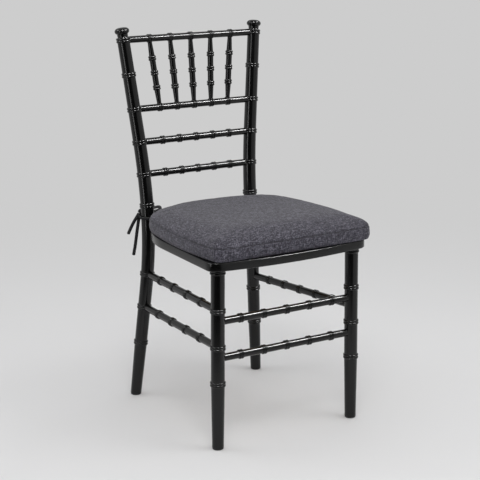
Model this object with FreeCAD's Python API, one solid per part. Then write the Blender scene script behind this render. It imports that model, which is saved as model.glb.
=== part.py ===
"""Ballroom chair with turned bamboo-style members, a wooden seat frame and a tied seat cushion.

Millimetres, +Z up, front towards -Y. The origin is on the floor, under the middle of the chair.
"""
import FreeCAD, Part
import math
import os

Vector = FreeCAD.Vector
UP = Vector(0, 0, 1)
LEFT = -1
RIGHT = 1

# Overall sizes
overall_height = 920.0
seat_height = 444.0
leg_base_depth = 414.5
front_leg_span_floor = 373.4
rear_leg_span_floor = 359.8

# Front legs
front_leg_span_seat = 366.6
front_leg_lean = 3.5
front_leg_diameter = 31.6
front_leg_foot_diameter = 27.0
front_leg_upper_knot_height = 327.8
front_leg_knot_pitch = 86.0
front_leg_lower_knots = 3
front_leg_spigot_diameter = 20.0
front_leg_spigot_length = 14.0
leg_seat_gap = 0.2

# Rear posts: straight below and above, bent sideways and backwards between
post_foot_diameter = 26.8
post_ankle_diameter = 31.0
post_seat_diameter = 32.8
post_top_diameter = 30.0
post_lower_splay = 0.0829
post_upper_splay = 0.1047
post_splay_bend_height = 474.8
post_splay_bend_reach = 171.0
post_lower_rake = 0.0758
post_upper_rake = 0.1002
post_rake_bend_height = 384.5
post_rake_bend_reach = 115.0
post_bend_step = 15.0
post_ankle_knot_height = 139.0
post_shin_knot_height = 232.5
post_knee_knot_height = 317.0
post_waist_knot_rise = 45.0

# Finial on each rear post
finial_diameter = 35.6
finial_cap_height = 15.0
finial_neck_diameter = 24.5
finial_neck_height = 4.0
finial_tilt_rise = 0.69
finial_cap_fullness = 0.7
finial_cap_angles = [-50, -20, 10, 40, 65, 82]

# Turned knots: two beads with a groove between
knot_length = 12.0
knot_rise = 2.2
knot_groove_depth = 1.5

# Back rails: each one's drop from the top of the chair or from the rail above
top_rail_drop = 30.5
spindle_rail_drop = 166.0
middle_rail_drop = 80.0
lower_rail_drop = 78.5
rail_diameter = 16.6
rail_knot_count = 5
top_rail_knot_pitch = 57.0
spindle_rail_knot_pitch = 48.3
middle_rail_knot_pitch = 47.3
lower_rail_knot_pitch = 46.4

# Spindles between the top rail and the spindle rail
spindle_diameter = 14.6
spindle_end_diameter = 10.8
spindle_knot_pitch = 36.0
spindle_knot_count = 3
spindle_socket_depth = 5.5
spindle_shoulder_gap = 1.0

# Stretchers between the legs
stretcher_diameter = 17.6
front_stretcher_upper_height = 302.0
front_stretcher_lower_height = 216.0
front_stretcher_knot_pitch = 62.5
front_stretcher_knot_count = 5
left_stretcher_knot_pitch = 74.0
left_stretcher_knot_count = 4
right_stretcher_rear_height = 266.0
right_stretcher_front_height = 282.5
right_stretcher_knot_pitch = 62.5
right_stretcher_knot_count = 5

# Round sockets that the rails and stretchers are glued into
socket_clearance = 0.15
socket_stop = 2.0
socket_end_gap = 0.5
cut_overrun = 1.0

# Seat frame
seat_frame_thickness = 20.0
seat_front_width = 409.0
seat_rear_width = 360.0
seat_front_overhang = 31.0
seat_front_bow = 8.0
seat_side_bow = 8.0
seat_rear_bow = 1.0
seat_front_corner_radius = 28.0
seat_rear_corner_radius = 30.0
seat_edge_round = 2.5
seat_side_rail_width = 46.0
seat_front_rail_width = 54.0
seat_rear_rail_width = 46.0
seat_opening_corner_radius = 12.0
seat_joint_gap = 0.1

# Plywood panel let into the seat frame
panel_thickness = 6.0
panel_ledge = 8.0
panel_clearance = 0.4

# Dowels in the seat frame joints and screws through the rear posts
dowel_diameter = 8.0
dowel_length = 32.0
dowel_spacing = 22.0
dowel_drop = 11.5
dowel_clearance = 0.1
screw_diameter = 5.0
screw_head_diameter = 10.0
screw_head_height = 3.0
screw_head_sink = 0.5
screw_length = 48.0
screw_clearance = 0.1

# Nylon glides under the feet
glide_height = 4.0
glide_diameter = 26.0
glide_edge = 1.5
glide_pin_diameter = 5.0
glide_pin_length = 12.0

# Seat cushion: cover, foam and stiff base board
cushion_gap = 0.3
cushion_shift = 4.5
cushion_front_width = 438.0
cushion_rear_width = 392.0
cushion_front_setback = 2.8
cushion_rear_gap = 3.0
cushion_front_bow = 4.0
cushion_side_bow = 10.0
cushion_rear_bow = 3.0
cushion_front_corner_radius = 24.0
cushion_rear_corner_radius = 78.0
cushion_side_height = 38.5
cushion_crown = 16.5
cushion_fullness = 5
cushion_bottom_draw_in = 10.0
cushion_seam_draw_in = 2.3
cushion_widest_share = 0.4
cover_wall = 2.5
cover_fit = 0.3
board_thickness = 5.0
board_play = 1.0

# Cushion tie: a cord sewn to the cushion, passed round the left rear post and tied in a half bow
cord_diameter = 5.0
wrap_rise = 20.0
wrap_pitch = 8.4
wrap_clearance = 0.35
wrap_spans = 3
wrap_span_angle = 83.0
wrap_end_gap = 2.75
tie_knot_gap = 0.7
tie_knot_angle = 125.0
tie_knot_drop = 9.0
tie_knot_height = 20.0
tie_knot_diameter = 12.0
tie_view_angle = 32.0
tie_bend_share = 0.45

# Routes of the loose cords: (left, back, up) from the middle of the tie's knot
loop_route = [(-0.5, 3.5, 2.0), (-7.0, 10.5, 5.5), (-18.0, 16.0, 8.0), (-29.0, 14.5, 9.0),
              (-38.5, 13.0, 10.8), (-45.5, 12.5, 12.5), (-51.5, 15.5, 14.0), (-51.5, 22.0, 15.2),
              (-45.0, 25.0, 15.5), (-35.0, 24.5, 14.5), (-24.0, 23.5, 13.5), (-14.0, 21.5, 13.0),
              (-6.0, 17.0, 12.5), (-1.0, 11.0, 11.0), (0.5, 4.0, 8.5)]
short_tail_route = [(1.5, -2.5, 5.0), (7.5, -3.0, -5.0), (15.0, -4.0, -17.5), (21.7, -5.5, -31.0),
                    (27.3, -6.5, -43.7)]
long_tail_route = [(1.0, 1.5, -4.5), (2.5, 1.0, -14.0), (5.0, -0.5, -29.5), (8.2, -2.0, -52.0),
                   (11.3, -4.0, -76.0), (15.4, -5.0, -97.5)]

# Sizes worked out from the ones above
front_leg_height = seat_height - seat_frame_thickness
post_foot_x = rear_leg_span_floor / 2
cap_height = overall_height - finial_tilt_rise - finial_cap_height / 2
top_rail_height = overall_height - top_rail_drop
spindle_rail_height = top_rail_height - spindle_rail_drop
middle_rail_height = spindle_rail_height - middle_rail_drop
lower_rail_height = middle_rail_height - lower_rail_drop
post_waist_knot_height = seat_height + post_waist_knot_rise
wrap_height = seat_height + wrap_rise


def bent_offset(height, bend_height, reach, lower_slope, upper_slope):
    """Distance that a bent line has moved outwards at a height, from its place on the floor."""
    offset = -lower_slope * height
    start = bend_height - reach
    if height > bend_height + reach:
        offset += (lower_slope + upper_slope) * (height - bend_height)
    elif height > start:
        offset += (lower_slope + upper_slope) * (height - start) ** 2 / (4 * reach)
    return offset


def post_splay(height):
    return bent_offset(height, post_splay_bend_height, post_splay_bend_reach,
                       post_lower_splay, post_upper_splay)


def post_rake(height):
    return bent_offset(height, post_rake_bend_height, post_rake_bend_reach,
                       post_lower_rake, post_upper_rake)


# Fore and aft places, set so that the chair is centred over the origin
seat_front_reach = seat_front_overhang + seat_front_bow
back_reach = post_rake(cap_height) + finial_diameter / 2
front_leg_seat_y = (seat_front_reach + front_leg_lean - leg_base_depth - back_reach) / 2
front_leg_floor_y = front_leg_seat_y - front_leg_lean
post_foot_y = front_leg_floor_y + leg_base_depth


def post_point(side, height):
    """Point on the axis of the left or right rear post."""
    return Vector(side * (post_foot_x + post_splay(height)), post_foot_y + post_rake(height), height)


def post_direction(side, height):
    step = 1.0
    return (post_point(side, height + step) - post_point(side, height - step)).normalize()


def front_leg_point(side, height):
    """Point on the axis of the left or right front leg."""
    rise = height / front_leg_height
    x = front_leg_span_floor / 2 + rise * (front_leg_span_seat - front_leg_span_floor) / 2
    return Vector(side * x, front_leg_floor_y + rise * front_leg_lean, height)


def tapered(position, taper):
    """Radius at a position, from a list of (position, radius) in rising order."""
    for (low, low_radius), (high, high_radius) in zip(taper, taper[1:]):
        if position <= high:
            share = max(0.0, (position - low) / (high - low))
            return low_radius + share * (high_radius - low_radius)
    return taper[-1][1]


def knotted(taper, knots, bends=()):
    """Profile (position, radius) of a turned member with a double-beaded knot at each place."""
    half = knot_length / 2
    bead = half / 2
    shape = [(-half, 0.0), (-bead, knot_rise), (0.0, knot_rise - knot_groove_depth),
             (bead, knot_rise), (half, 0.0)]
    profile = [(knot + shift, tapered(knot + shift, taper) + rise)
               for knot in knots for shift, rise in shape]
    for position in [place for place, _ in taper] + list(bends):
        if all(abs(position - knot) > half for knot in knots):
            profile.append((position, tapered(position, taper)))
    return sorted(profile)


def turned(profile):
    """Solid of revolution about Z from (height, radius) points."""
    points = [Vector(0, 0, profile[0][0])]
    points += [Vector(radius, 0, height) for height, radius in profile]
    points += [Vector(0, 0, profile[-1][0]), points[0]]
    return Part.Face(Part.makePolygon(points)).revolve(Vector(0, 0, 0), UP, 360)


def aimed(shape, point, direction):
    """Copy of a shape built about Z, moved so that its axis starts at a point in a direction."""
    moved = shape.copy()
    moved.Placement = FreeCAD.Placement(point, FreeCAD.Rotation(UP, direction))
    return moved


def rod(radius, length, point, direction):
    return Part.makeCylinder(radius, length, point, direction)


def block(low, high):
    """Box between two opposite corners."""
    size = high - low
    return Part.makeBox(size.x, size.y, size.z, low)


def even_places(count, pitch, middle=0.0):
    return [middle + (index - (count - 1) / 2) * pitch for index in range(count)]


def member(start, end, stop, diameter, knot_count, knot_pitch):
    """Round rail or stretcher between two leg axes, stopping short of each axis."""
    direction = (end - start).normalize()
    length = (end - start).Length - 2 * stop
    radius = diameter / 2
    knots = even_places(knot_count, knot_pitch, length / 2)
    profile = knotted([(0.0, radius), (length, radius)], knots)
    return aimed(turned(profile), start + direction * stop, direction)


def socket(point, towards, diameter, reach):
    """Round blind hole in a leg, from just past the member's end out through the surface."""
    direction = (towards - point).normalize()
    depth = socket_stop - socket_end_gap
    return rod(diameter / 2 + socket_clearance, reach - depth, point + direction * depth, direction)


def export(shape, name):
    shape.exportStep(os.path.join("parts", name + ".step"))
    print(name, "solids", len(shape.Solids), "valid", shape.isValid(), "volume", round(shape.Volume))


def rounded_outline(corners, bows, inset, height):
    """Closed wire of corner arcs joined by slightly bowed sides, all tangent.

    corners are (x, y, radius) of the corner circles, anticlockwise from the front right, and
    bows are the rises of the sides that follow each corner.
    """
    sides = []
    for index, (x, y, radius) in enumerate(corners):
        next_x, next_y, next_radius = corners[(index + 1) % len(corners)]
        first, second = Vector(x, y, 0), Vector(next_x, next_y, 0)
        along = second - first
        span = along.Length
        along.normalize()
        inwards = Vector(-along.y, along.x, 0)
        rise = bows[index]
        reach = (span ** 2 / 4 + rise ** 2) / (2 * rise)
        big_radius = reach + (radius + next_radius) / 2
        near, far = big_radius - radius, big_radius - next_radius
        shift = (near ** 2 - far ** 2 + span ** 2) / (2 * span)
        centre = first + along * shift + inwards * math.sqrt(near ** 2 - shift ** 2)
        out_first = (first - centre).normalize()
        out_second = (second - centre).normalize()
        out_middle = (out_first + out_second).normalize()
        sides.append([centre + out * (big_radius - inset)
                      for out in (out_first, out_middle, out_second)])
    edges = []
    lift = Vector(0, 0, height)
    for index, (x, y, radius) in enumerate(corners):
        arrive = sides[index - 1][2]
        leave = sides[index][0]
        centre = Vector(x, y, 0)
        middle = centre + ((arrive + leave) / 2 - centre).normalize() * (radius - inset)
        edges.append(Part.Arc(arrive + lift, middle + lift, leave + lift).toShape())
        start, halfway, end = sides[index]
        edges.append(Part.Arc(start + lift, halfway + lift, end + lift).toShape())
    return Part.Wire(edges)


def corner_circles(front_width, rear_width, front_y, rear_y, front_radius, rear_radius):
    """Corner circles of an outline wider at the front, anticlockwise from the front right."""
    front_x, rear_x = front_width / 2 - front_radius, rear_width / 2 - rear_radius
    return [(front_x, front_y + front_radius, front_radius),
            (rear_x, rear_y - rear_radius, rear_radius),
            (-rear_x, rear_y - rear_radius, rear_radius),
            (-front_x, front_y + front_radius, front_radius)]


def prism(wire, height):
    return Part.Face(wire).extrude(Vector(0, 0, height))


# Rear posts, each turned in one piece with its finial and bent
post_knots = [post_ankle_knot_height, post_shin_knot_height, post_knee_knot_height,
              post_waist_knot_height, lower_rail_height, middle_rail_height, spindle_rail_height,
              (spindle_rail_height + top_rail_height) / 2, top_rail_height]
post_taper = [(0.0, post_foot_diameter / 2), (post_ankle_knot_height, post_ankle_diameter / 2),
              (seat_height, post_seat_diameter / 2), (top_rail_height, post_top_diameter / 2)]
bend_bottom = min(post_splay_bend_height - post_splay_bend_reach,
                  post_rake_bend_height - post_rake_bend_reach)
bend_top = max(post_splay_bend_height + post_splay_bend_reach,
               post_rake_bend_height + post_rake_bend_reach)
bend_steps = math.ceil((bend_top - bend_bottom) / post_bend_step)
post_bends = [bend_bottom + (bend_top - bend_bottom) * step / bend_steps
              for step in range(bend_steps + 1)]


def finial_profile():
    """Profile of the neck and the rounded button cap above the top knot."""
    base = top_rail_height + knot_length / 2
    neck = finial_neck_diameter / 2
    cap_radius = finial_diameter / 2
    half_height = finial_cap_height / 2
    profile = [(base + socket_end_gap, neck), (base + finial_neck_height, neck)]
    for angle in finial_cap_angles:
        rise, reach = math.sin(math.radians(angle)), math.cos(math.radians(angle))
        profile.append((cap_height + half_height * rise, cap_radius * reach ** finial_cap_fullness))
    return profile


def rear_post(side):
    """Loft through round sections along the bent axis, cut for the feet, rails and fixings."""
    profile = knotted(post_taper, post_knots, post_bends) + finial_profile()
    sections = []
    for height, radius in profile:
        circle = Part.Circle(Vector(0, 0, 0), UP, radius).toShape()
        section = aimed(circle, post_point(side, height), post_direction(side, height))
        sections.append(Part.Wire(section))
    post = Part.makeLoft(sections, True, True)
    post = post.cut(foot_cut(post_point(side, glide_height)))
    for rail_height in (top_rail_height, spindle_rail_height, middle_rail_height, lower_rail_height):
        start, end = post_point(side, rail_height), post_point(-side, rail_height)
        post = post.cut(socket(start, end, rail_diameter, post_seat_diameter))
    for rear, front, _ in side_stretcher_ends(side):
        post = post.cut(socket(rear, front, stretcher_diameter, post_seat_diameter))
    post = post.cut(glide_pin_hole(post_point(side, glide_height)))
    return post.cut(post_screw(side, screw_clearance, screw_head_height))


def foot_cut(point):
    """Block below a foot, which is sawn level where the glide goes."""
    reach = Vector(post_seat_diameter, post_seat_diameter, 0)
    low = Vector(point.x, point.y, -post_seat_diameter)
    return block(low - reach, Vector(point.x, point.y, glide_height) + reach)


def front_leg(side):
    """Straight turned leg with a spigot that goes up into the seat frame."""
    foot, seat = front_leg_point(side, 0.0), front_leg_point(side, front_leg_height)
    direction = (seat - foot).normalize()
    length = (seat - foot).Length - leg_seat_gap
    lower_knots = [front_leg_upper_knot_height - index * front_leg_knot_pitch
                   for index in range(front_leg_lower_knots)]
    knots = lower_knots + [length - knot_length / 2]
    taper = [(0.0, front_leg_foot_diameter / 2), (lower_knots[-1], front_leg_diameter / 2),
             (length, front_leg_diameter / 2)]
    profile = knotted(taper, knots)
    spigot = front_leg_spigot_diameter / 2
    profile += [(length, spigot), (length + front_leg_spigot_length, spigot)]
    leg = aimed(turned(profile), foot, direction)
    leg = leg.cut(foot_cut(front_leg_point(side, glide_height)))
    for height in (front_stretcher_upper_height, front_stretcher_lower_height):
        start, end = front_leg_point(side, height), front_leg_point(-side, height)
        leg = leg.cut(socket(start, end, stretcher_diameter, front_leg_diameter))
    for rear, front, _ in side_stretcher_ends(side):
        leg = leg.cut(socket(front, rear, stretcher_diameter, front_leg_diameter))
    return leg.cut(glide_pin_hole(front_leg_point(side, glide_height)))


def side_stretcher_ends(side):
    """Ends on the leg axes and the name of each stretcher of one side: two left, one right."""
    if side == RIGHT:
        heights = [(right_stretcher_rear_height, right_stretcher_front_height, "right_stretcher")]
    else:
        heights = [(post_knee_knot_height, front_leg_upper_knot_height, "left_stretcher_upper"),
                   (post_shin_knot_height, front_leg_upper_knot_height - front_leg_knot_pitch,
                    "left_stretcher_lower")]
    return [(post_point(side, rear), front_leg_point(side, front), name)
            for rear, front, name in heights]


def glide_pin_hole(point):
    """Upright hole in a foot for the pin of its glide."""
    return rod(glide_pin_diameter / 2 + dowel_clearance, glide_pin_length + socket_end_gap, point, UP)


def foot_glide(point):
    """Nylon disc with a softened lower edge and a pin driven up into the foot."""
    radius = glide_diameter / 2
    pin = glide_pin_diameter / 2
    profile = [(0.0, radius - glide_edge), (glide_edge, radius), (glide_height, radius),
               (glide_height, pin), (glide_height + glide_pin_length, pin)]
    return aimed(turned(profile), Vector(point.x, point.y, 0), UP)


def post_screw(side, clearance=0.0, outwards=0.0):
    """Screw from behind through a rear post into the seat frame, or the hole that it needs."""
    height = seat_height - seat_frame_thickness / 2
    axis = post_point(side, height)
    head_y = axis.y + tapered(height, post_taper) - screw_head_sink
    forwards = Vector(0, -1, 0)
    head = rod(screw_head_diameter / 2 + clearance, screw_head_height + outwards,
               Vector(axis.x, head_y + outwards, height), forwards)
    shank = rod(screw_diameter / 2 + clearance, screw_length + clearance,
                Vector(axis.x, head_y, height), forwards)
    return head.fuse(shank)


# Back rails and spindles
def back_rail(height, knot_pitch):
    """Round rail between the rear posts, with a knot at each place where a spindle could go."""
    return member(post_point(LEFT, height), post_point(RIGHT, height), socket_stop,
                  rail_diameter, rail_knot_count, knot_pitch)


def spindle_ends(index):
    """Points on the axes of the spindle rail and the top rail that a spindle joins."""
    low = post_point(RIGHT, spindle_rail_height)
    high = post_point(RIGHT, top_rail_height)
    low.x = even_places(rail_knot_count, spindle_rail_knot_pitch)[index]
    high.x = even_places(rail_knot_count, top_rail_knot_pitch)[index]
    return low, high


spindle_stop = rail_diameter / 2 - spindle_socket_depth
spindle_tenon_length = spindle_socket_depth + knot_rise + spindle_shoulder_gap


def spindle(index):
    """Turned spindle with slim ends let into the rails and three knots about its middle."""
    low, high = spindle_ends(index)
    direction = (high - low).normalize()
    length = (high - low).Length - 2 * spindle_stop
    knots = even_places(spindle_knot_count, spindle_knot_pitch, length / 2)
    end, body = spindle_end_diameter / 2, spindle_diameter / 2
    taper = [(0.0, end), (spindle_tenon_length, end), (knots[0], body), (knots[-1], body),
             (length - spindle_tenon_length, end), (length, end)]
    return aimed(turned(knotted(taper, knots)), low + direction * spindle_stop, direction)


def spindle_socket(point, towards):
    """Hole in a rail for the end of a spindle."""
    direction = (towards - point).normalize()
    depth = spindle_stop - socket_end_gap
    return rod(spindle_end_diameter / 2 + socket_clearance, rail_diameter - depth,
               point + direction * depth, direction)


# Seat frame
seat_front_y = front_leg_seat_y - seat_front_overhang
seat_rear_y = post_point(RIGHT, seat_height - seat_frame_thickness / 2).y
seat_bows = [seat_side_bow, seat_rear_bow, seat_side_bow, seat_front_bow]
opening_front_y = seat_front_y + seat_front_rail_width
opening_rear_y = seat_rear_y - seat_rear_rail_width
front_joint_y = opening_front_y + seat_opening_corner_radius
rear_joint_y = opening_rear_y - seat_opening_corner_radius
opening_front_width = seat_front_width - 2 * seat_side_rail_width
opening_rear_width = seat_rear_width - 2 * seat_side_rail_width


def seat_opening(grow, low, high):
    """Solid of the opening in the seat frame, grown by a ledge, between two heights."""
    corners = corner_circles(opening_front_width, opening_rear_width, opening_front_y,
                             opening_rear_y, seat_opening_corner_radius, seat_opening_corner_radius)
    return prism(rounded_outline(corners, seat_bows, -grow, low), high - low)


def seat_ring():
    """Whole seat frame before it is parted into its four rails."""
    bottom = front_leg_height
    corners = corner_circles(seat_front_width, seat_rear_width, seat_front_y, seat_rear_y,
                             seat_front_corner_radius, seat_rear_corner_radius)
    ring = prism(rounded_outline(corners, seat_bows, 0.0, bottom), seat_frame_thickness)
    rims = [edge for face in ring.Faces for edge in face.Edges
            if abs(face.normalAt(0, 0).z) > 0.9]
    ring = ring.makeFillet(seat_edge_round, rims)
    ring = ring.cut(seat_opening(0.0, bottom - cut_overrun, seat_height + cut_overrun))
    ring = ring.cut(seat_opening(panel_ledge, seat_height - panel_thickness, seat_height + cut_overrun))
    for side in (LEFT, RIGHT):
        ring = ring.cut(leg_spigot_hole(side)).cut(post_notch(side))
        ring = ring.cut(post_screw(side, screw_clearance))
    return ring.cut(Part.makeCompound(dowels(dowel_clearance)))


def leg_spigot_hole(side):
    """Hole in the front rail for the spigot of a front leg."""
    foot, seat = front_leg_point(side, 0.0), front_leg_point(side, front_leg_height)
    direction = (seat - foot).normalize()
    return rod(front_leg_spigot_diameter / 2 + socket_clearance,
               front_leg_spigot_length + cut_overrun + socket_end_gap,
               seat - direction * cut_overrun, direction)


def post_notch(side):
    """Round notch in a rear corner of the seat frame, where the rear post passes."""
    middle = seat_height - seat_frame_thickness / 2
    direction = post_direction(side, middle)
    radius = tapered(seat_height, post_taper) + socket_clearance
    start = post_point(side, middle) - direction * seat_frame_thickness
    return rod(radius, 2 * seat_frame_thickness, start, direction)


def dowels(clearance=0.0):
    """Pairs of dowels across the four joints of the seat frame."""
    half_length = dowel_length / 2 + clearance
    pins = []
    for side in (LEFT, RIGHT):
        for joint_y in (front_joint_y, rear_joint_y):
            share = (joint_y - seat_front_y) / (seat_rear_y - seat_front_y)
            width = seat_front_width + share * (seat_rear_width - seat_front_width)
            middle = (width - seat_side_rail_width) / 2
            for x in even_places(2, dowel_spacing, middle):
                start = Vector(side * x, joint_y - half_length, seat_height - dowel_drop)
                pins.append(rod(dowel_diameter / 2 + clearance, 2 * half_length, start, Vector(0, 1, 0)))
    return pins


def seat_rails():
    """The four rails, parted from the ring at the front and rear joints."""
    ring = seat_ring()
    reach = seat_front_width
    top = seat_height + cut_overrun
    bottom = front_leg_height - cut_overrun
    gap = seat_joint_gap / 2
    front = block(Vector(-reach, -reach, bottom), Vector(reach, front_joint_y - gap, top))
    rear = block(Vector(-reach, rear_joint_y + gap, bottom), Vector(reach, reach, top))
    left = block(Vector(-reach, front_joint_y + gap, bottom), Vector(0, rear_joint_y - gap, top))
    right = block(Vector(0, front_joint_y + gap, bottom), Vector(reach, rear_joint_y - gap, top))
    return {"seat_front_rail": ring.common(front), "seat_rear_rail": ring.common(rear),
            "seat_left_rail": ring.common(left), "seat_right_rail": ring.common(right)}


# Cushion
cushion_bottom = seat_height + cushion_gap
cushion_front_y = seat_front_y + cushion_front_setback
waist_post = post_point(LEFT, wrap_height)
waist_radius = tapered(waist_post.z, post_taper)
cushion_rear_y = waist_post.y - waist_radius - cord_diameter - cushion_rear_gap
cushion_middle_y = (cushion_front_y + cushion_rear_y) / 2
cushion_bows = [cushion_side_bow, cushion_rear_bow, cushion_side_bow, cushion_front_bow]
cushion_heights = [0.0, 0.14, cushion_widest_share, 0.72, 1.0]
cushion_domes = [0.985, 0.95, 0.89, 0.78, 0.6]
cushion_corners = corner_circles(cushion_front_width, cushion_rear_width, cushion_front_y, cushion_rear_y,
                                 cushion_front_corner_radius, cushion_rear_corner_radius)


def cushion_outline(inset, height, scale=1.0):
    """Outline of the cushion, drawn in and shrunk about its middle, at a height."""
    shrunk = [(cushion_shift + x * scale, cushion_middle_y + (y - cushion_middle_y) * scale,
               radius * scale) for x, y, radius in cushion_corners]
    return rounded_outline(shrunk, [bow * scale for bow in cushion_bows], inset * scale, height)


def side_draw_in(share):
    """Distance that the cushion's side is drawn in at a share of its height."""
    if share < cushion_widest_share:
        return cushion_bottom_draw_in * (1 - share / cushion_widest_share) ** 2
    return cushion_seam_draw_in * ((share - cushion_widest_share) / (1 - cushion_widest_share)) ** 2


def cushion_form(shrink, step=1):
    """Cushion body: sides drawn in at the bottom and the seam, under a crowned top.

    step is 2 for the hidden forms inside the cover, which take every second section.
    """
    bottom = cushion_bottom + shrink
    seam = cushion_bottom + cushion_side_height - shrink
    sections = [cushion_outline(shrink + side_draw_in(share), bottom + share * (seam - bottom))
                for share in cushion_heights[::step]]
    for scale in cushion_domes[step - 1::step]:
        height = seam + cushion_crown * math.sqrt(1 - scale ** cushion_fullness)
        sections.append(cushion_outline(shrink + cushion_seam_draw_in, height, scale))
    return Part.makeLoft(sections, True, True)


def cushion_parts():
    """Sewn cover, and the foam and the base board inside it."""
    inside_gap = cover_wall + cover_fit
    cover = cushion_form(0.0).cut(cushion_form(cover_wall, 2))
    board_bottom = cushion_bottom + inside_gap
    board_inset = inside_gap + cushion_bottom_draw_in + board_play
    board = prism(cushion_outline(board_inset, board_bottom), board_thickness)
    under = prism(cushion_outline(0.0, cushion_bottom), inside_gap + board_thickness)
    return {"cushion_cover": cover, "cushion_foam": cushion_form(inside_gap, 2).cut(under),
            "cushion_board": board}


# Cushion tie
cord_radius = cord_diameter / 2
wrap_radius = waist_radius + wrap_clearance + cord_radius
lead_samples = 20


def level(angle):
    """Level unit vector at an angle in degrees, anticlockwise from the right."""
    return Vector(math.cos(math.radians(angle)), math.sin(math.radians(angle)), 0)


tie_knot_reach = waist_radius + tie_knot_gap + tie_knot_diameter / 2
tie_knot_middle = (post_point(LEFT, wrap_height - wrap_pitch * tie_knot_angle / 360.0)
                   + level(tie_knot_angle) * tie_knot_reach)
tie_left = level(180.0 - tie_view_angle)
tie_back = level(90.0 - tie_view_angle)


def arc_from(start, tangent, end):
    """Arc that leaves a point along a unit tangent and ends at another point."""
    chord = end - start
    angle = chord.getAngle(tangent)
    along = chord / chord.Length
    outwards = (tangent - along * math.cos(angle)).normalize()
    middle = (start + end) / 2 + outwards * (chord.Length / 2 * math.tan(angle / 2))
    return Part.Arc(start, middle, end).toShape()


def biarc(start, start_tangent, end, end_tangent):
    """Two arcs that join two points and are tangent to each other and to both directions."""
    span = end - start
    both = span.dot(start_tangent + end_tangent)
    spread = 2 * (1 - start_tangent.dot(end_tangent))
    reach = (math.sqrt(both ** 2 + spread * span.dot(span)) - both) / spread
    joint = (start + end + (start_tangent - end_tangent) * reach) / 2
    joint_tangent = (end - end_tangent * reach - start - start_tangent * reach).normalize()
    return [arc_from(start, start_tangent, joint), arc_from(joint, joint_tangent, end)]


def cord(edges, name):
    """Round cord along tangent lines and arcs; prints its length and how true its volume is."""
    path = Part.Wire(edges)
    start = edges[0].valueAt(edges[0].FirstParameter)
    direction = edges[0].tangentAt(edges[0].FirstParameter)
    section = Part.Wire(Part.Circle(start, direction, cord_radius).toShape())
    tube = path.makePipeShell([section], True, False)
    share = tube.Volume / (math.pi * cord_radius ** 2 * path.Length)
    print(name, "length", round(path.Length, 1), "volume against section times length", round(share, 4))
    return tube


def loose_cord(route, name):
    """Cord along straight runs with an arc at each turn of its route; prints the radii."""
    points = [tie_knot_middle + tie_left * left + tie_back * back + UP * up for left, back, up in route]
    edges = []
    radii = []
    place = points[0]
    for before, corner, after in zip(points, points[1:], points[2:]):
        arrive, leave = corner - before, after - corner
        cut = tie_bend_share * min(arrive.Length, leave.Length)
        radii.append(round(cut / math.tan(arrive.getAngle(leave) / 2), 1))
        arrive.normalize()
        leave.normalize()
        bend_start, bend_end = corner - arrive * cut, corner + leave * cut
        edges.append(Part.LineSegment(place, bend_start).toShape())
        edges.append(arc_from(bend_start, arrive, bend_end))
        place = bend_end
    edges.append(Part.LineSegment(place, points[-1]).toShape())
    print(name, "radii", radii)
    return cord(edges, name)


def wrap_place(turn):
    """Point and direction on the winding, about a Z axis through its start."""
    slope = wrap_pitch / (2 * math.pi * wrap_radius)
    place = level(turn) * wrap_radius - UP * (wrap_pitch * turn / 360.0)
    return place, (level(turn + 90.0) - UP * slope).normalize()


def run_to_cushion(start, direction):
    """Length of the straight run from a point of the winding to the cushion's left rear corner."""
    x, y, radius = cushion_corners[2]
    flat = Vector(direction.x, direction.y, 0)
    offset = Vector(cushion_shift + x, y, 0) - Vector(waist_post.x + start.x, waist_post.y + start.y, 0)
    along = offset.dot(flat) / flat.Length
    across = offset.cross(flat).Length / flat.Length
    return (along - math.sqrt((radius + wrap_end_gap) ** 2 - across ** 2)) / flat.Length


def tie_wrap():
    """Cord from the cushion round the back, side and front of the post to the cushion again."""
    places = [wrap_place(step * wrap_span_angle) for step in range(wrap_spans + 1)]
    (first, first_tangent), (last, last_tangent) = places[0], places[-1]
    start = first - first_tangent * run_to_cushion(first, first_tangent * -1)
    end = last + last_tangent * run_to_cushion(last, last_tangent)
    edges = [Part.LineSegment(start, first).toShape()]
    for (near, near_tangent), (far, far_tangent) in zip(places, places[1:]):
        edges += biarc(near, near_tangent, far, far_tangent)
    edges.append(Part.LineSegment(last, end).toShape())
    leads = [[one + (two - one) * (step / lead_samples) for step in range(lead_samples + 1)]
             for one, two in ((start, first), (last, end))]
    least = min(near.distanceToPoint(far) for near in leads[0] for far in leads[1])
    print("tie_wrap least gap to itself", round(least - cord_diameter, 2))
    return aimed(cord(edges, "tie_wrap"), waist_post, post_direction(LEFT, wrap_height))


def tie_knot_body():
    """Upright barrel that stands for the knot, before the cords are cut from it."""
    low, high = -tie_knot_drop, tie_knot_height - tie_knot_drop
    radius = tie_knot_diameter / 2
    end, shoulder = 0.5 * radius, 0.85 * radius
    profile = [(low, end), (0.75 * low, shoulder), (0.3 * low, radius),
               (0.3 * high, radius), (0.75 * high, shoulder), (high, end)]
    return aimed(turned(profile), tie_knot_middle, UP)


def tie_parts():
    """Winding, loop and tails, and the knot that they all run into."""
    cords = {"tie_wrap": tie_wrap(), "tie_loop": loose_cord(loop_route, "tie_loop"),
             "tie_tail_short": loose_cord(short_tail_route, "tie_tail_short"),
             "tie_tail_long": loose_cord(long_tail_route, "tie_tail_long")}
    body = tie_knot_body()
    for piece in cords.values():
        body = body.cut(piece)
    return {"tie_knot": body, **cords}


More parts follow.
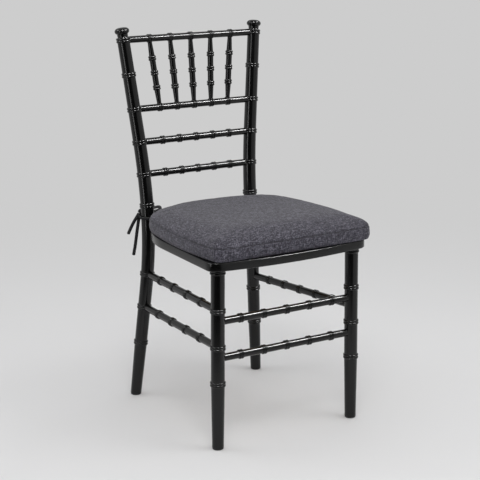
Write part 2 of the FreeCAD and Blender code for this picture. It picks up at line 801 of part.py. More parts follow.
def build():
    """Every piece of the chair, by name."""
    pieces = {}
    for side, name in ((LEFT, "left"), (RIGHT, "right")):
        pieces["rear_post_" + name] = rear_post(side)
        pieces["front_leg_" + name] = front_leg(side)
        for rear, front, stretcher in side_stretcher_ends(side):
            count, pitch = left_stretcher_knot_count, left_stretcher_knot_pitch
            if side == RIGHT:
                count, pitch = right_stretcher_knot_count, right_stretcher_knot_pitch
            pieces[stretcher] = member(rear, front, socket_stop, stretcher_diameter, count, pitch)
    for height, name in ((front_stretcher_upper_height, "upper"), (front_stretcher_lower_height, "lower")):
        pieces["front_stretcher_" + name] = member(
            front_leg_point(LEFT, height), front_leg_point(RIGHT, height), socket_stop,
            stretcher_diameter, front_stretcher_knot_count, front_stretcher_knot_pitch)
    top_rail = back_rail(top_rail_height, top_rail_knot_pitch)
    spindle_rail = back_rail(spindle_rail_height, spindle_rail_knot_pitch)
    for index in range(rail_knot_count):
        low, high = spindle_ends(index)
        pieces["spindle_%d" % (index + 1)] = spindle(index)
        top_rail = top_rail.cut(spindle_socket(high, low))
        spindle_rail = spindle_rail.cut(spindle_socket(low, high))
    pieces["top_rail"] = top_rail
    pieces["spindle_rail"] = spindle_rail
    pieces["middle_rail"] = back_rail(middle_rail_height, middle_rail_knot_pitch)
    pieces["lower_rail"] = back_rail(lower_rail_height, lower_rail_knot_pitch)
    pieces.update(seat_rails())
    pieces["seat_panel"] = seat_opening(panel_ledge - panel_clearance,
                                        seat_height - panel_thickness, seat_height)
    pieces["seat_dowels"] = Part.makeCompound(dowels())
    pieces["post_screws"] = Part.makeCompound([post_screw(LEFT), post_screw(RIGHT)])
    feet = [front_leg_point(LEFT, glide_height), front_leg_point(RIGHT, glide_height),
            post_point(LEFT, glide_height), post_point(RIGHT, glide_height)]
    pieces["foot_glides"] = Part.makeCompound([foot_glide(foot) for foot in feet])
    pieces.update(cushion_parts())
    pieces.update(tie_parts())
    return pieces


os.makedirs("parts", exist_ok=True)
for piece_name, piece in build().items():
    export(piece, piece_name)
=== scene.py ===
"""Blender scene of a black ballroom chair with a slate grey seat cushion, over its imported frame.

Lengths are in millimetres and turned to metres where a mesh or an object is made. Only the
studio's lamps and the reaches of its floor are in metres.
"""
import logging
import math
from collections.abc import Callable, Sequence
from dataclasses import dataclass, field
from enum import Enum

import bmesh
import bpy
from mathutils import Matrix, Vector, kdtree, noise


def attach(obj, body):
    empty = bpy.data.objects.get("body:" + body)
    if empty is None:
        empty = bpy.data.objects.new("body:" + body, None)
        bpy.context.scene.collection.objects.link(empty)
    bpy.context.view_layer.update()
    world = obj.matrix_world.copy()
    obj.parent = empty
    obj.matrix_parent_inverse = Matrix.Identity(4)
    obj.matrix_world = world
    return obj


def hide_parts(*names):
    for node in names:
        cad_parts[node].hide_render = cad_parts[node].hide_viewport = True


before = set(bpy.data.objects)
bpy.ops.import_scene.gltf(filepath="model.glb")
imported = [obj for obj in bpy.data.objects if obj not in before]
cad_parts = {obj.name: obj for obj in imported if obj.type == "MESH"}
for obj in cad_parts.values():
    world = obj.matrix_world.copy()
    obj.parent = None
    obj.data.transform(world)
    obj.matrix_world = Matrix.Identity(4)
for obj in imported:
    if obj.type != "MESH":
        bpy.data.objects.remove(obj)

MM = 0.001
ROOT = "root"
UP = Vector((0.0, 0.0, 1.0))
# Degrees by which a surface may turn at an edge before the edge is shaded crisp.
CRISP_ANGLE = 42.0
# Width in metres of one band of the wave texture at a scale of 1.
WAVE_BAND = math.tau / 20

Point = tuple[float, float]
Triple = tuple[float, float, float]
Face = tuple[int, ...]
Axis = Callable[[float], tuple[Vector, Vector]]
Socket = bpy.types.NodeSocket

log = logging.getLogger("chair")


class Side(Enum):
    """Side of the chair, as seen by someone who looks at it from the front."""

    LEFT = -1
    RIGHT = 1


class FarEnd(Enum):
    """What a cord's far end goes to."""

    OBJECT = "object"
    BARE = "bare"


class Lay(Enum):
    """How a cord lies between its ends."""

    LOOSE = "loose"
    HANGING = "hanging"
    TAUT = "taut"


def linear(colour: str) -> tuple[float, float, float, float]:
    """Turn an sRGB hex colour such as "#1c1d1b" to a linear colour with full opacity.

    Args:
        colour: Six hex digits after a hash sign.

    Returns:
        Red, green, blue and alpha, all from 0 to 1.
    """
    values = [int(colour[index:index + 2], 16) / 255 for index in (1, 3, 5)]
    red, green, blue = (v / 12.92 if v <= 0.04045 else ((v + 0.055) / 1.055) ** 2.4 for v in values)
    return red, green, blue, 1.0


def per_metre(size: float) -> float:
    """How often a size in millimetres goes into a metre, which is the scale of its pattern."""
    return 1 / (size * MM)


class NodeSheet:
    """The node tree of a material or of the world, filled one node at a time."""

    def __init__(self, name: str, world: bool = False) -> None:
        """Start an empty node tree.

        Args:
            name: Name of the material or the world.
            world: True for the world.
        """
        self.holder = (bpy.data.worlds if world else bpy.data.materials).new(name)
        self.holder.use_nodes = True
        self.tree = self.holder.node_tree
        self.tree.nodes.clear()
        self.output = self.tree.nodes.new("ShaderNodeOutputWorld" if world else "ShaderNodeOutputMaterial")

    def add(self, kind: str, inputs: dict[str | int, object], **settings: object) -> bpy.types.Node:
        """Add a node with its settings and inputs.

        Args:
            kind: Blender's name of the node type.
            inputs: Input name or number to a value, or to the socket that is linked to it.
            **settings: Attributes of the node itself.

        Returns:
            The new node.
        """
        node = self.tree.nodes.new(kind)
        for name, value in settings.items():
            setattr(node, name, value)
        for name, value in inputs.items():
            if isinstance(value, Socket):
                self.tree.links.new(value, node.inputs[name])
            else:
                node.inputs[name].default_value = value
        return node

    def finish(self, shader: Socket) -> bpy.types.Material | bpy.types.World:
        """Link the shader to the output and return the finished material or world."""
        self.tree.links.new(shader, self.output.inputs["Surface"])
        return self.holder


@dataclass(frozen=True)
class BlackLacquer:
    """Sprayed black lacquer on turned beech: satin film that shows lamps as soft streaks."""

    colour: str = "#050505"
    worn_colour: str = "#141312"
    worn_edges: Point = (0.53, 0.62)
    refraction: float = 1.42
    smoothest: float = 0.12
    roughest: float = 0.25
    grain_mm: float = 3.0
    ripple_mm: float = 7.0
    ripple_depth_mm: float = 0.15
    ripple_strength: float = 0.1

    def material(self) -> bpy.types.Material:
        """Build the lacquer's material.

        Returns:
            The material, whose film is rubbed a little paler on sharp edges.
        """
        sheet = NodeSheet("black_lacquer_on_beech")
        place = sheet.add("ShaderNodeTexCoord", {}).outputs["Object"]
        ripple = sheet.add("ShaderNodeTexNoise", {"Vector": place, "Scale": per_metre(self.ripple_mm),
                                                  "Detail": 2.0, "Roughness": 0.4})
        grain = sheet.add("ShaderNodeTexNoise", {"Vector": place, "Scale": per_metre(self.grain_mm),
                                                 "Detail": 4.0, "Roughness": 0.6})
        edges = sheet.add("ShaderNodeNewGeometry", {}).outputs["Pointiness"]
        rubbed = sheet.add("ShaderNodeMapRange", {"Value": edges, "From Min": self.worn_edges[0],
                                                  "From Max": self.worn_edges[1]})
        worn = sheet.add("ShaderNodeMath", {0: rubbed.outputs["Result"], 1: grain.outputs["Fac"]},
                         operation="MULTIPLY")
        colour = sheet.add("ShaderNodeMix", {"Factor": worn.outputs["Value"],
                                             "A": linear(self.colour), "B": linear(self.worn_colour)},
                           data_type="RGBA")
        gloss = sheet.add("ShaderNodeMapRange", {"Value": grain.outputs["Fac"],
                                                 "To Min": self.smoothest, "To Max": self.roughest})
        bump = sheet.add("ShaderNodeBump", {"Height": ripple.outputs["Fac"],
                                            "Strength": self.ripple_strength,
                                            "Distance": self.ripple_depth_mm * MM})
        shader = sheet.add("ShaderNodeBsdfPrincipled", {
            "Base Color": colour.outputs["Result"], "Roughness": gloss.outputs["Result"],
            "IOR": self.refraction, "Normal": bump.outputs["Normal"]})
        return sheet.finish(shader.outputs["BSDF"])


@dataclass(frozen=True)
class WovenPolyester:
    """Slate grey plain weave of slubby yarns: light flecks in both yarn directions, no gloss.

    The yarns and slubs are drawn two to three times as coarse as real ones, so that they show.
    """

    dark: str = "#1e1d24"
    middle: str = "#38363f"
    light: str = "#67656f"
    # The seam colour is painted shade: the cloth turns to it along the top seam's crease.
    seam: str = "#1d1c22"
    yarn_mm: float = 1.6
    slub_mm: Point = (2.6, 11.0)
    fleck_mm: float = 2.9
    cloud_mm: float = 28.0
    slub_weight: float = 0.8
    cloud_weight: float = 0.16
    yarn_weight: float = 0.35
    contrast: float = 1.75
    balance: float = 1.36
    roughness: float = 0.9
    sheen: float = 0.12
    specular: float = 0.2
    relief_mm: float = 0.5
    relief_strength: float = 0.6

    def weave(self, sheet: NodeSheet, place: Socket) -> tuple[Socket, Socket]:
        """Draw slubs and yarns along the directions that lie in the surface.

        Args:
            sheet: The cloth's node tree.
            place: Place on the cushion.

        Returns:
            Strength of the slubs, and of the yarns.
        """
        normal = sheet.add("ShaderNodeNewGeometry", {}).outputs["Normal"]
        facing = sheet.add("ShaderNodeVectorMath", {0: normal, 1: normal}, operation="MULTIPLY")
        along = sheet.add("ShaderNodeVectorMath", {0: (1.0, 1.0, 1.0), 1: facing.outputs["Vector"]},
                          operation="SUBTRACT")
        shares = sheet.add("ShaderNodeSeparateXYZ", {"Vector": along.outputs["Vector"]})
        slubs: Socket | float = 0.0
        yarns: Socket | float = 0.0
        thin, long = (per_metre(size) for size in self.slub_mm)
        for axis, letter in enumerate("XYZ"):
            stretch = [thin] * 3
            stretch[axis] = long
            run = sheet.add("ShaderNodeMapping", {"Vector": place, "Scale": stretch})
            slub = sheet.add("ShaderNodeTexNoise", {"Vector": run.outputs["Vector"], "Scale": 1.0,
                                                    "Detail": 2.0, "Roughness": 0.6})
            band = sheet.add("ShaderNodeTexWave", {"Vector": place, "Distortion": 0.4, "Detail": 1.0,
                                                   "Scale": WAVE_BAND * per_metre(self.yarn_mm)},
                             bands_direction=letter)
            share = shares.outputs[letter]
            slubs = sheet.add("ShaderNodeMath", {0: slub.outputs["Fac"], 1: share, 2: slubs},
                              operation="MULTIPLY_ADD").outputs["Value"]
            yarns = sheet.add("ShaderNodeMath", {0: band.outputs["Fac"], 1: share, 2: yarns},
                              operation="MULTIPLY_ADD").outputs["Value"]
        return slubs, yarns

    def material(self) -> bpy.types.Material:
        """Build the cloth's material.

        Returns:
            The material, with painted shade along the seam: darker where the mesh's attribute "seam" is
            above 0.
        """
        sheet = NodeSheet("woven_polyester_slate")
        place = sheet.add("ShaderNodeTexCoord", {}).outputs["Object"]
        slubs, yarns = self.weave(sheet, place)
        fleck = sheet.add("ShaderNodeTexNoise", {"Vector": place, "Scale": per_metre(self.fleck_mm),
                                                 "Detail": 3.0, "Roughness": 0.7})
        cloud = sheet.add("ShaderNodeTexNoise", {"Vector": place, "Scale": per_metre(self.cloud_mm),
                                                 "Detail": 3.0})
        mixed = sheet.add("ShaderNodeMath", {0: slubs, 1: self.slub_weight, 2: fleck.outputs["Fac"]},
                          operation="MULTIPLY_ADD").outputs["Value"]
        shaded = sheet.add("ShaderNodeMath", {0: cloud.outputs["Fac"], 1: self.cloud_weight, 2: mixed},
                           operation="MULTIPLY_ADD")
        level = sheet.add("ShaderNodeMath", {0: shaded.outputs["Value"], 1: self.contrast,
                                             2: 0.5 - self.contrast * self.balance},
                          operation="MULTIPLY_ADD")
        ramp = sheet.add("ShaderNodeValToRGB", {"Fac": level.outputs["Value"]})
        first, last = ramp.color_ramp.elements
        first.color = linear(self.dark)
        last.color = linear(self.light)
        ramp.color_ramp.elements.new(0.5).color = linear(self.middle)
        # Painted shade in the seam's crease, read from the mesh's attribute "seam".
        shadow = sheet.add("ShaderNodeAttribute", {}, attribute_name="seam")
        colour = sheet.add("ShaderNodeMix", {"Factor": shadow.outputs["Fac"], "A": ramp.outputs["Color"],
                                             "B": linear(self.seam)}, data_type="RGBA")
        threads = sheet.add("ShaderNodeMath", {0: yarns, 1: self.yarn_weight, 2: mixed},
                            operation="MULTIPLY_ADD")
        bump = sheet.add("ShaderNodeBump", {"Height": threads.outputs["Value"],
                                            "Strength": self.relief_strength,
                                            "Distance": self.relief_mm * MM})
        shader = sheet.add("ShaderNodeBsdfPrincipled", {
            "Base Color": colour.outputs["Result"], "Roughness": self.roughness,
            "Sheen Weight": self.sheen, "Sheen Roughness": 0.5, "Specular IOR Level": self.specular,
            "Normal": bump.outputs["Normal"]})
        return sheet.finish(shader.outputs["BSDF"])


@dataclass(frozen=True)
class TwistedCord:
    """Black twisted rayon cord, pressed flat: fine slanting strands with a silky gloss.

    The strands are drawn about twice as coarse as real ones, so that they show.
    """

    colour: str = "#060608"
    light: str = "#15151a"
    strand_mm: float = 1.6
    slant: float = 35.0
    roughness: float = 0.6
    specular: float = 0.2
    relief_mm: float = 0.4
    relief_strength: float = 0.6

    def material(self) -> bpy.types.Material:
        """Build the cord's material.

        Returns:
            The material.
        """
        sheet = NodeSheet("twisted_rayon_cord")
        place = sheet.add("ShaderNodeTexCoord", {}).outputs["Object"]
        turned = sheet.add("ShaderNodeMapping", {"Vector": place,
                                                 "Rotation": (0.0, math.radians(self.slant), 0.0)})
        strands = sheet.add("ShaderNodeTexWave", {"Vector": turned.outputs["Vector"], "Distortion": 0.6,
                                                  "Scale": WAVE_BAND * per_metre(self.strand_mm)},
                            bands_direction="Z")
        colour = sheet.add("ShaderNodeMix", {"Factor": strands.outputs["Fac"], "A": linear(self.colour),
                                             "B": linear(self.light)}, data_type="RGBA")
        bump = sheet.add("ShaderNodeBump", {"Height": strands.outputs["Fac"],
                                            "Strength": self.relief_strength,
                                            "Distance": self.relief_mm * MM})
        shader = sheet.add("ShaderNodeBsdfPrincipled", {
            "Base Color": colour.outputs["Result"], "Roughness": self.roughness,
            "Specular IOR Level": self.specular, "Normal": bump.outputs["Normal"]})
        return sheet.finish(shader.outputs["BSDF"])


@dataclass(frozen=True)
class Mottled:
    """One colour with a fine mottle, for the pieces that are small or hidden."""

    name: str
    colour: str
    light: str
    roughness: float
    mottle_mm: float
    metallic: float = 0.0
    stretch: Triple = (1.0, 1.0, 1.0)
    relief_mm: float = 0.1
    relief_strength: float = 0.2

    def material(self) -> bpy.types.Material:
        """Build the finish's material.

        Returns:
            The material.
        """
        sheet = NodeSheet(self.name)
        place = sheet.add("ShaderNodeTexCoord", {}).outputs["Object"]
        stretched = sheet.add("ShaderNodeMapping", {"Vector": place, "Scale": self.stretch})
        mottle = sheet.add("ShaderNodeTexNoise", {"Vector": stretched.outputs["Vector"],
                                                  "Scale": per_metre(self.mottle_mm), "Detail": 4.0})
        colour = sheet.add("ShaderNodeMix", {"Factor": mottle.outputs["Fac"], "A": linear(self.colour),
                                             "B": linear(self.light)}, data_type="RGBA")
        bump = sheet.add("ShaderNodeBump", {"Height": mottle.outputs["Fac"],
                                            "Strength": self.relief_strength,
                                            "Distance": self.relief_mm * MM})
        shader = sheet.add("ShaderNodeBsdfPrincipled", {
            "Base Color": colour.outputs["Result"], "Roughness": self.roughness,
            "Metallic": self.metallic, "Normal": bump.outputs["Normal"]})
        return sheet.finish(shader.outputs["BSDF"])


class SmallFinish(Enum):
    """Finishes of the small and hidden pieces."""

    # Beech rods with pressed flutes: pale tan wood with a fine fleck.
    FLUTED_BEECH = Mottled("fluted_beech", "#b9966b", "#cbab80", 0.6, 2.0)
    # Zinc-plated steel: cool grey metal with a faint grain.
    ZINC_PLATED_STEEL = Mottled("zinc_plated_steel", "#9a9b9c", "#b8b9bb", 0.35, 0.8, 1.0)
    # Peeled birch veneer, pressed to plywood: pale wood whose grain runs in long streaks.
    BIRCH_PLYWOOD = Mottled("birch_plywood", "#a98a62", "#c4a67c", 0.6, 6.0, 0.0, (1.0, 0.08, 1.0))
    # Moulded nylon: near black with a dull sheen.
    MOULDED_NYLON = Mottled("moulded_nylon", "#0c0c0c", "#171717", 0.5, 1.5)


def dress(piece: bpy.types.Object, material: bpy.types.Material,
          stands_for: Sequence[str] = ()) -> None:
    """Give a new piece its material, slot and body, and hide the nodes that it stands for.

    Args:
        piece: The piece, in place.
        material: Its finish.
        stands_for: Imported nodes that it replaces.
    """
    piece.data.materials.clear()
    piece.data.materials.append(material)
    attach(piece, ROOT)
    if stands_for:
        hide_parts(*stands_for)
    log.info("%s stands for %s", piece.name, ", ".join(stands_for) or "nothing else")


def linked(name: str, data: bpy.types.ID) -> bpy.types.Object:
    """Put a mesh, camera or light in the scene.

    Args:
        name: Name of the object.
        data: What it holds.

    Returns:
        The new object.
    """
    piece = bpy.data.objects.new(name, data)
    bpy.context.scene.collection.objects.link(piece)
    return piece


def shade(mesh: bpy.types.Mesh, crisp_angle: float = CRISP_ANGLE) -> None:
    """Shade a mesh smooth, apart from the edges that turn by more than an angle in degrees."""
    mesh.shade_smooth()
    mesh.set_sharp_from_angle(angle=math.radians(crisp_angle))


def mesh_object(name: str, points: Sequence[Vector], faces: Sequence[Face],
                crisp_angle: float = CRISP_ANGLE) -> bpy.types.Object:
    """Make a smooth-shaded object from points in millimetres.

    Args:
        name: Name of the object.
        points: Its vertices.
        faces: Vertex numbers of each face.
        crisp_angle: Angle in degrees above which an edge stays crisp.

    Returns:
        The linked object.
    """
    mesh = bpy.data.meshes.new(name)
    mesh.from_pydata([tuple(point * MM) for point in points], [], faces)
    mesh.update()
    shade(mesh, crisp_angle)
    return linked(name, mesh)


def poured(name: str, shape: bmesh.types.BMesh) -> bpy.types.Object:
    """Make a smooth-shaded object from a working mesh, and free the working mesh.

    Args:
        name: Name of the object.
        shape: The working mesh, in metres.

    Returns:
        The linked object.
    """
    mesh = bpy.data.meshes.new(name)
    shape.to_mesh(mesh)
    shape.free()
    shade(mesh)
    return linked(name, mesh)


def tube_faces(rows: int, sides: int, closed: bool = False) -> list[Face]:
    """Faces between rows of points that follow each other along a tube.

    Args:
        rows: Number of rows.
        sides: Number of points in each row.
        closed: True where the last row meets the first.

    Returns:
        The faces, with one at each end where the tube is open.
    """
    faces = []
    for row in range(rows if closed else rows - 1):
        low, high = row * sides, (row + 1) % rows * sides
        for side in range(sides):
            after = (side + 1) % sides
            faces.append((low + side, low + after, high + after, high + side))
    if not closed:
        faces.append(tuple(reversed(range(sides))))
        faces.append(tuple(range((rows - 1) * sides, rows * sides)))
    return faces


def settle(piece: bpy.types.Object) -> None:
    """Turn what a piece's modifiers make into its own mesh.

    Args:
        piece: The piece, which keeps its name.
    """
    shape = piece.evaluated_get(bpy.context.evaluated_depsgraph_get())
    mesh = bpy.data.meshes.new_from_object(shape)
    piece.modifiers.clear()
    old = piece.data
    piece.data = mesh
    bpy.data.meshes.remove(old)


def carve(piece: bpy.types.Object, tools: Sequence[bpy.types.Object]) -> None:
    """Cut each tool's volume out of a piece and delete the tool.

    Args:
        piece: The piece.
        tools: Closed solids.
    """
    for tool in tools:
        cutter = piece.modifiers.new("carve", "BOOLEAN")
        cutter.operation = "DIFFERENCE"
        cutter.solver = "EXACT"
        cutter.object = tool
    settle(piece)
    for tool in tools:
        mesh = tool.data
        bpy.data.objects.remove(tool)
        bpy.data.meshes.remove(mesh)


@dataclass(frozen=True)
class Knot:
    """Double-beaded knot that every turned member carries."""

    half_length: float = 6.0
    bead_offset: float = 2.95
    bead_half: float = 3.05
    rise: float = 2.3
    steps: int = 14

    def rise_at(self, shift: float) -> float:
        """Height of the beads above the member.

        Args:
            shift: Distance along the member from the knot's middle.

        Returns:
            The height.
        """
        best = 0.0
        for middle in (-self.bead_offset, self.bead_offset):
            share = (shift - middle) / self.bead_half
            if abs(share) < 1:
                best = max(best, self.rise * math.sqrt(1 - share ** 2))
        return best

    def shifts(self) -> list[float]:
        """Distances from the knot's middle at which it needs a ring of points.

        Returns:
            The distances, in order.
        """
        found = []
        for middle in (-self.bead_offset, self.bead_offset):
            for step in range(self.steps + 1):
                found.append(middle - self.bead_half * math.cos(math.pi * step / self.steps))
        return sorted(found)


KNOT = Knot()


@dataclass
class TurnedMember:
    """Round wooden member, turned on a lathe, straight or bent afterwards."""

    name: str
    axis: Axis
    # Position along the member and radius, at each change of its taper.
    taper: list[Point]
    knots: Sequence[float] = ()
    # Rings beyond the taper, such as a finial's.
    extra: list[Point] = field(default_factory=list)
    # Positions that need a ring because the axis bends there.
    bends: list[float] = field(default_factory=list)
    sides: int = 40

    def radius(self, position: float) -> float:
        """Radius of the plain member.

        Args:
            position: Position along it.

        Returns:
            The radius.
        """
        for (low, low_radius), (high, high_radius) in zip(self.taper, self.taper[1:]):
            if position <= high:
                share = max(0.0, (position - low) / (high - low))
                return low_radius + share * (high_radius - low_radius)
        return self.taper[-1][1]

    def profile(self) -> list[Point]:
        """Position and radius of every ring.

        Returns:
            The rings, from one end to the other.
        """
        rings = [(knot + shift, self.radius(knot + shift) + KNOT.rise_at(shift))
                 for knot in self.knots for shift in KNOT.shifts()]
        for position in [place for place, _ in self.taper] + self.bends:
            if all(abs(position - knot) > KNOT.half_length for knot in self.knots):
                rings.append((position, self.radius(position)))
        return sorted(rings) + self.extra

    def build(self, ending: str = "") -> bpy.types.Object:
        """Make the member's mesh.

        Args:
            ending: What its name ends with.

        Returns:
            The member.
        """
        rings = self.profile()
        points = []
        for position, radius in rings:
            centre, direction = self.axis(position)
            turn = UP.rotation_difference(direction)
            for side in range(self.sides):
                angle = 2 * math.pi * side / self.sides
                points.append(centre + turn @ Vector((math.cos(angle), math.sin(angle), 0)) * radius)
        return mesh_object(self.name + ending, points, tube_faces(len(rings), self.sides))

    def lacquered(self, lacquer: bpy.types.Material, tools: Sequence[bpy.types.Object] = ()) -> None:
        """Make the member in place of the node of its name.

        Args:
            lacquer: The finish.
            tools: Solids that are cut out of it.
        """
        piece = self.build("_turned")
        if tools:
            carve(piece, tools)
            shade(piece.data)
        dress(piece, lacquer, [self.name])


def line_axis(start: Vector, way: Vector) -> Axis:
    """Axis of a straight line from a point along a direction."""
    return lambda along: (start + way * along, way)


def straight_axis(start: Vector, end: Vector, stop: float) -> tuple[Axis, float]:
    """Axis of a straight member between two points.

    Args:
        start: First point.
        end: Second point.
        stop: Length left free at each end.

    Returns:
        The axis, and the member's length.
    """
    way = (end - start).normalized()
    return line_axis(start + way * stop, way), (end - start).length - 2 * stop


def even_places(count: int, pitch: float, middle: float = 0.0) -> list[float]:
    """Places of a row of things about a middle."""
    return [middle + (index - (count - 1) / 2) * pitch for index in range(count)]


def bent_offset(height: float, bend: float, reach: float, lower: float, upper: float) -> float:
    """Distance that a bent line has moved outwards at a height, from its place on the floor.

    Args:
        height: Height above the floor.
        bend: Height of the bend's middle.
        reach: Half the length of the bend.
        lower: Slope below the bend.
        upper: Slope above the bend.

    Returns:
        The distance.
    """
    offset = -lower * height
    start = bend - reach
    if height > bend + reach:
        offset += (lower + upper) * (height - bend)
    elif height > start:
        offset += (lower + upper) * (height - start) ** 2 / (4 * reach)
    return offset


@dataclass(frozen=True)
class Stance:
    """Where the legs and posts stand: the skeleton that every other part is placed by."""

    overall_height: float = 920.0
    seat_height: float = 444.0
    seat_frame_thickness: float = 20.0
    base_depth: float = 414.5
    front_span_floor: float = 373.4
    front_span_seat: float = 366.6
    front_lean: float = 3.5
    front_floor_y: float = -210.25
    rear_span_floor: float = 359.8
    # Radius of a rear post beside the seat.
    post_radius: float = 16.35
    splay_bend: float = 474.8
    splay_reach: float = 171.0
    lower_splay: float = 0.0829
    upper_splay: float = 0.1047
    rake_bend: float = 384.5
    rake_reach: float = 115.0
    lower_rake: float = 0.0758
    upper_rake: float = 0.1002

    def post_point(self, side: Side, height: float) -> Vector:
        """Point on the axis of a rear post.

        Args:
            side: Side of the chair.
            height: Height above the floor.

        Returns:
            The point.
        """
        out = bent_offset(height, self.splay_bend, self.splay_reach, self.lower_splay, self.upper_splay)
        back = bent_offset(height, self.rake_bend, self.rake_reach, self.lower_rake, self.upper_rake)
        return Vector((side.value * (self.rear_span_floor / 2 + out),
                       self.front_floor_y + self.base_depth + back, height))

    def post_direction(self, side: Side, height: float) -> Vector:
        """Direction of a rear post at a height."""
        return (self.post_point(side, height + 1) - self.post_point(side, height - 1)).normalized()

    def post_axis(self, side: Side) -> Axis:
        """Bent axis of a rear post, by height above the floor."""
        return lambda height: (self.post_point(side, height), self.post_direction(side, height))

    def front_point(self, side: Side, height: float) -> Vector:
        """Point on the axis of a front leg.

        Args:
            side: Side of the chair.
            height: Height above the floor.

        Returns:
            The point.
        """
        rise = height / (self.seat_height - self.seat_frame_thickness)
        half = (self.front_span_floor + rise * (self.front_span_seat - self.front_span_floor)) / 2
        return Vector((side.value * half, self.front_floor_y + rise * self.front_lean, height))


STANCE = Stance()


@dataclass(frozen=True)
class PostScrew:
    """Countersunk cross-head screw that goes from behind through a post into the seat frame."""

    side: Side
    height: float = 434.0
    # Degrees by which it points inwards.
    inward: float = 30.0
    head: float = 10.0
    head_depth: float = 3.0
    # Depth below the head's face, and distance in from its rim.
    head_edge: tuple[Point, ...] = ((0.0, 0.8), (0.3, 0.2), (0.9, 0.0))
    shank: float = 5.0
    length: float = 46.0
    tip_length: float = 5.0
    tip_radius: float = 0.6
    cross_width: float = 1.1
    cross_span: float = 5.2
    cross_depth: float = 1.7
    cross_overshoot: float = 1.0
    sunk: float = 0.6
    sink_play: float = 0.15
    sink_overshoot: float = 4.0
    sides: int = 32

    def axis(self) -> tuple[Vector, Vector]:
        """Middle of the head's face, and the way that the screw points.

        Returns:
            The point and the direction.
        """
        turn = math.radians(self.inward)
        way = Vector((-self.side.value * math.sin(turn), -math.cos(turn), 0))
        return STANCE.post_point(self.side, self.height) - way * (STANCE.post_radius - self.sunk), way

    def sink(self) -> bpy.types.Object:
        """Tool that cuts the round recess in the post.

        Returns:
            The tool.
        """
        radius = self.head / 2 + self.sink_play
        return TurnedMember("sink", line_axis(*self.axis()),
                            [(-self.sink_overshoot, radius), (self.head_depth, radius)],
                            sides=self.sides).build()

    def slots(self) -> list[bpy.types.Object]:
        """Two tools that cut the cross in the head.

        Returns:
            The tools, at right angles to each other.
        """
        start, way = self.axis()
        turn = way.to_track_quat("Z", "Y").to_matrix()
        found = []
        for wide, high in ((self.cross_width, self.cross_span), (self.cross_span, self.cross_width)):
            corners = [start + turn @ Vector((x * wide / 2, y * high / 2, z))
                       for z in (-self.cross_overshoot, self.cross_depth)
                       for x, y in ((-1, -1), (1, -1), (1, 1), (-1, 1))]
            found.append(mesh_object("slot", corners, tube_faces(2, 4)))
        return found

    def build(self) -> bpy.types.Object:
        """Make the screw, with a cross recess in its head.

        Returns:
            The screw.
        """
        rings = [(depth, self.head / 2 - inset) for depth, inset in self.head_edge]
        rings += [(self.head_depth, self.shank / 2), (self.length - self.tip_length, self.shank / 2),
                  (self.length, self.tip_radius)]
        screw = TurnedMember("post_screw_" + self.side.name.lower(), line_axis(*self.axis()), [],
                             extra=rings, sides=self.sides).build()
        carve(screw, self.slots())
        return screw


@dataclass
class RearPosts:
    """Two bent rear posts, each in one piece with its finial."""

    knots: tuple[float, ...] = (139.0, 232.5, 317.0, 489.0, 565.0, 643.5, 723.5, 806.5, 889.5)
    # Height and diameter, from the foot up.
    diameters: tuple[Point, ...] = ((4.0, 26.9), (139.0, 31.0), (444.0, 32.8), (889.5, 30.0))
    bend_step: float = 12.0
    neck_diameter: float = 25.0
    # Height above the top knot, and what the radius has over the neck's.
    neck: tuple[Point, ...] = ((0.2, 0.6), (1.2, 0.0), (1.6, 0.0))
    finial_diameter: float = 35.6
    finial_height: float = 17.6
    # Height that the cap's edge gains over its middle because the post leans.
    finial_tilt: float = 0.69
    # Angle in degrees of the cap's first ring above its widest place, and the step to the next.
    finial_turns: Point = (-49.0, 6.3)
    finial_rings: int = 23
    # Below 1, the cap is fuller than an ellipse.
    finial_power: float = 0.7
    sides: int = 56

    def finial(self) -> list[Point]:
        """Rings of the neck and the button cap.

        Returns:
            Position and radius of each ring.
        """
        base = self.knots[-1] + KNOT.half_length
        middle = STANCE.overall_height - self.finial_tilt - self.finial_height / 2
        rings = [(base + rise, self.neck_diameter / 2 + more) for rise, more in self.neck]
        start, stride = self.finial_turns
        for step in range(self.finial_rings):
            turn = math.radians(start + stride * step)
            rings.append((middle + self.finial_height / 2 * math.sin(turn),
                          self.finial_diameter / 2 * max(0.0, math.cos(turn)) ** self.finial_power))
        return rings

    def build(self, lacquer: bpy.types.Material) -> None:
        """Make both posts.

        Args:
            lacquer: The finish.
        """
        start = STANCE.rake_bend - STANCE.rake_reach
        steps = int((STANCE.splay_bend + STANCE.splay_reach - start) / self.bend_step)
        bends = [start + self.bend_step * step for step in range(steps + 2)]
        taper = [(height, width / 2) for height, width in self.diameters]
        for side in Side:
            member = TurnedMember("rear_post_" + side.name.lower(), STANCE.post_axis(side), taper,
                                  self.knots, self.finial(), bends, self.sides)
            member.lacquered(lacquer, [PostScrew(side).sink()])


@dataclass
class FrontLegs:
    """Two straight front legs."""

    diameter: float = 31.6
    foot_diameter: float = 27.0
    foot: float = 4.0
    knots: tuple[float, ...] = (155.8, 241.8, 327.8)
    seat_gap: float = 0.2
    sides: int = 56

    def build(self, lacquer: bpy.types.Material) -> None:
        """Make both legs.

        Args:
            lacquer: The finish.
        """
        height = STANCE.seat_height - STANCE.seat_frame_thickness
        for side in Side:
            axis, length = straight_axis(STANCE.front_point(side, 0), STANCE.front_point(side, height), 0)
            length -= self.seat_gap
            taper = [(self.foot, self.foot_diameter / 2), (self.knots[0], self.diameter / 2),
                     (length, self.diameter / 2)]
            TurnedMember("front_leg_" + side.name.lower(), axis, taper,
                         [*self.knots, length - KNOT.half_length], sides=self.sides).lacquered(lacquer)


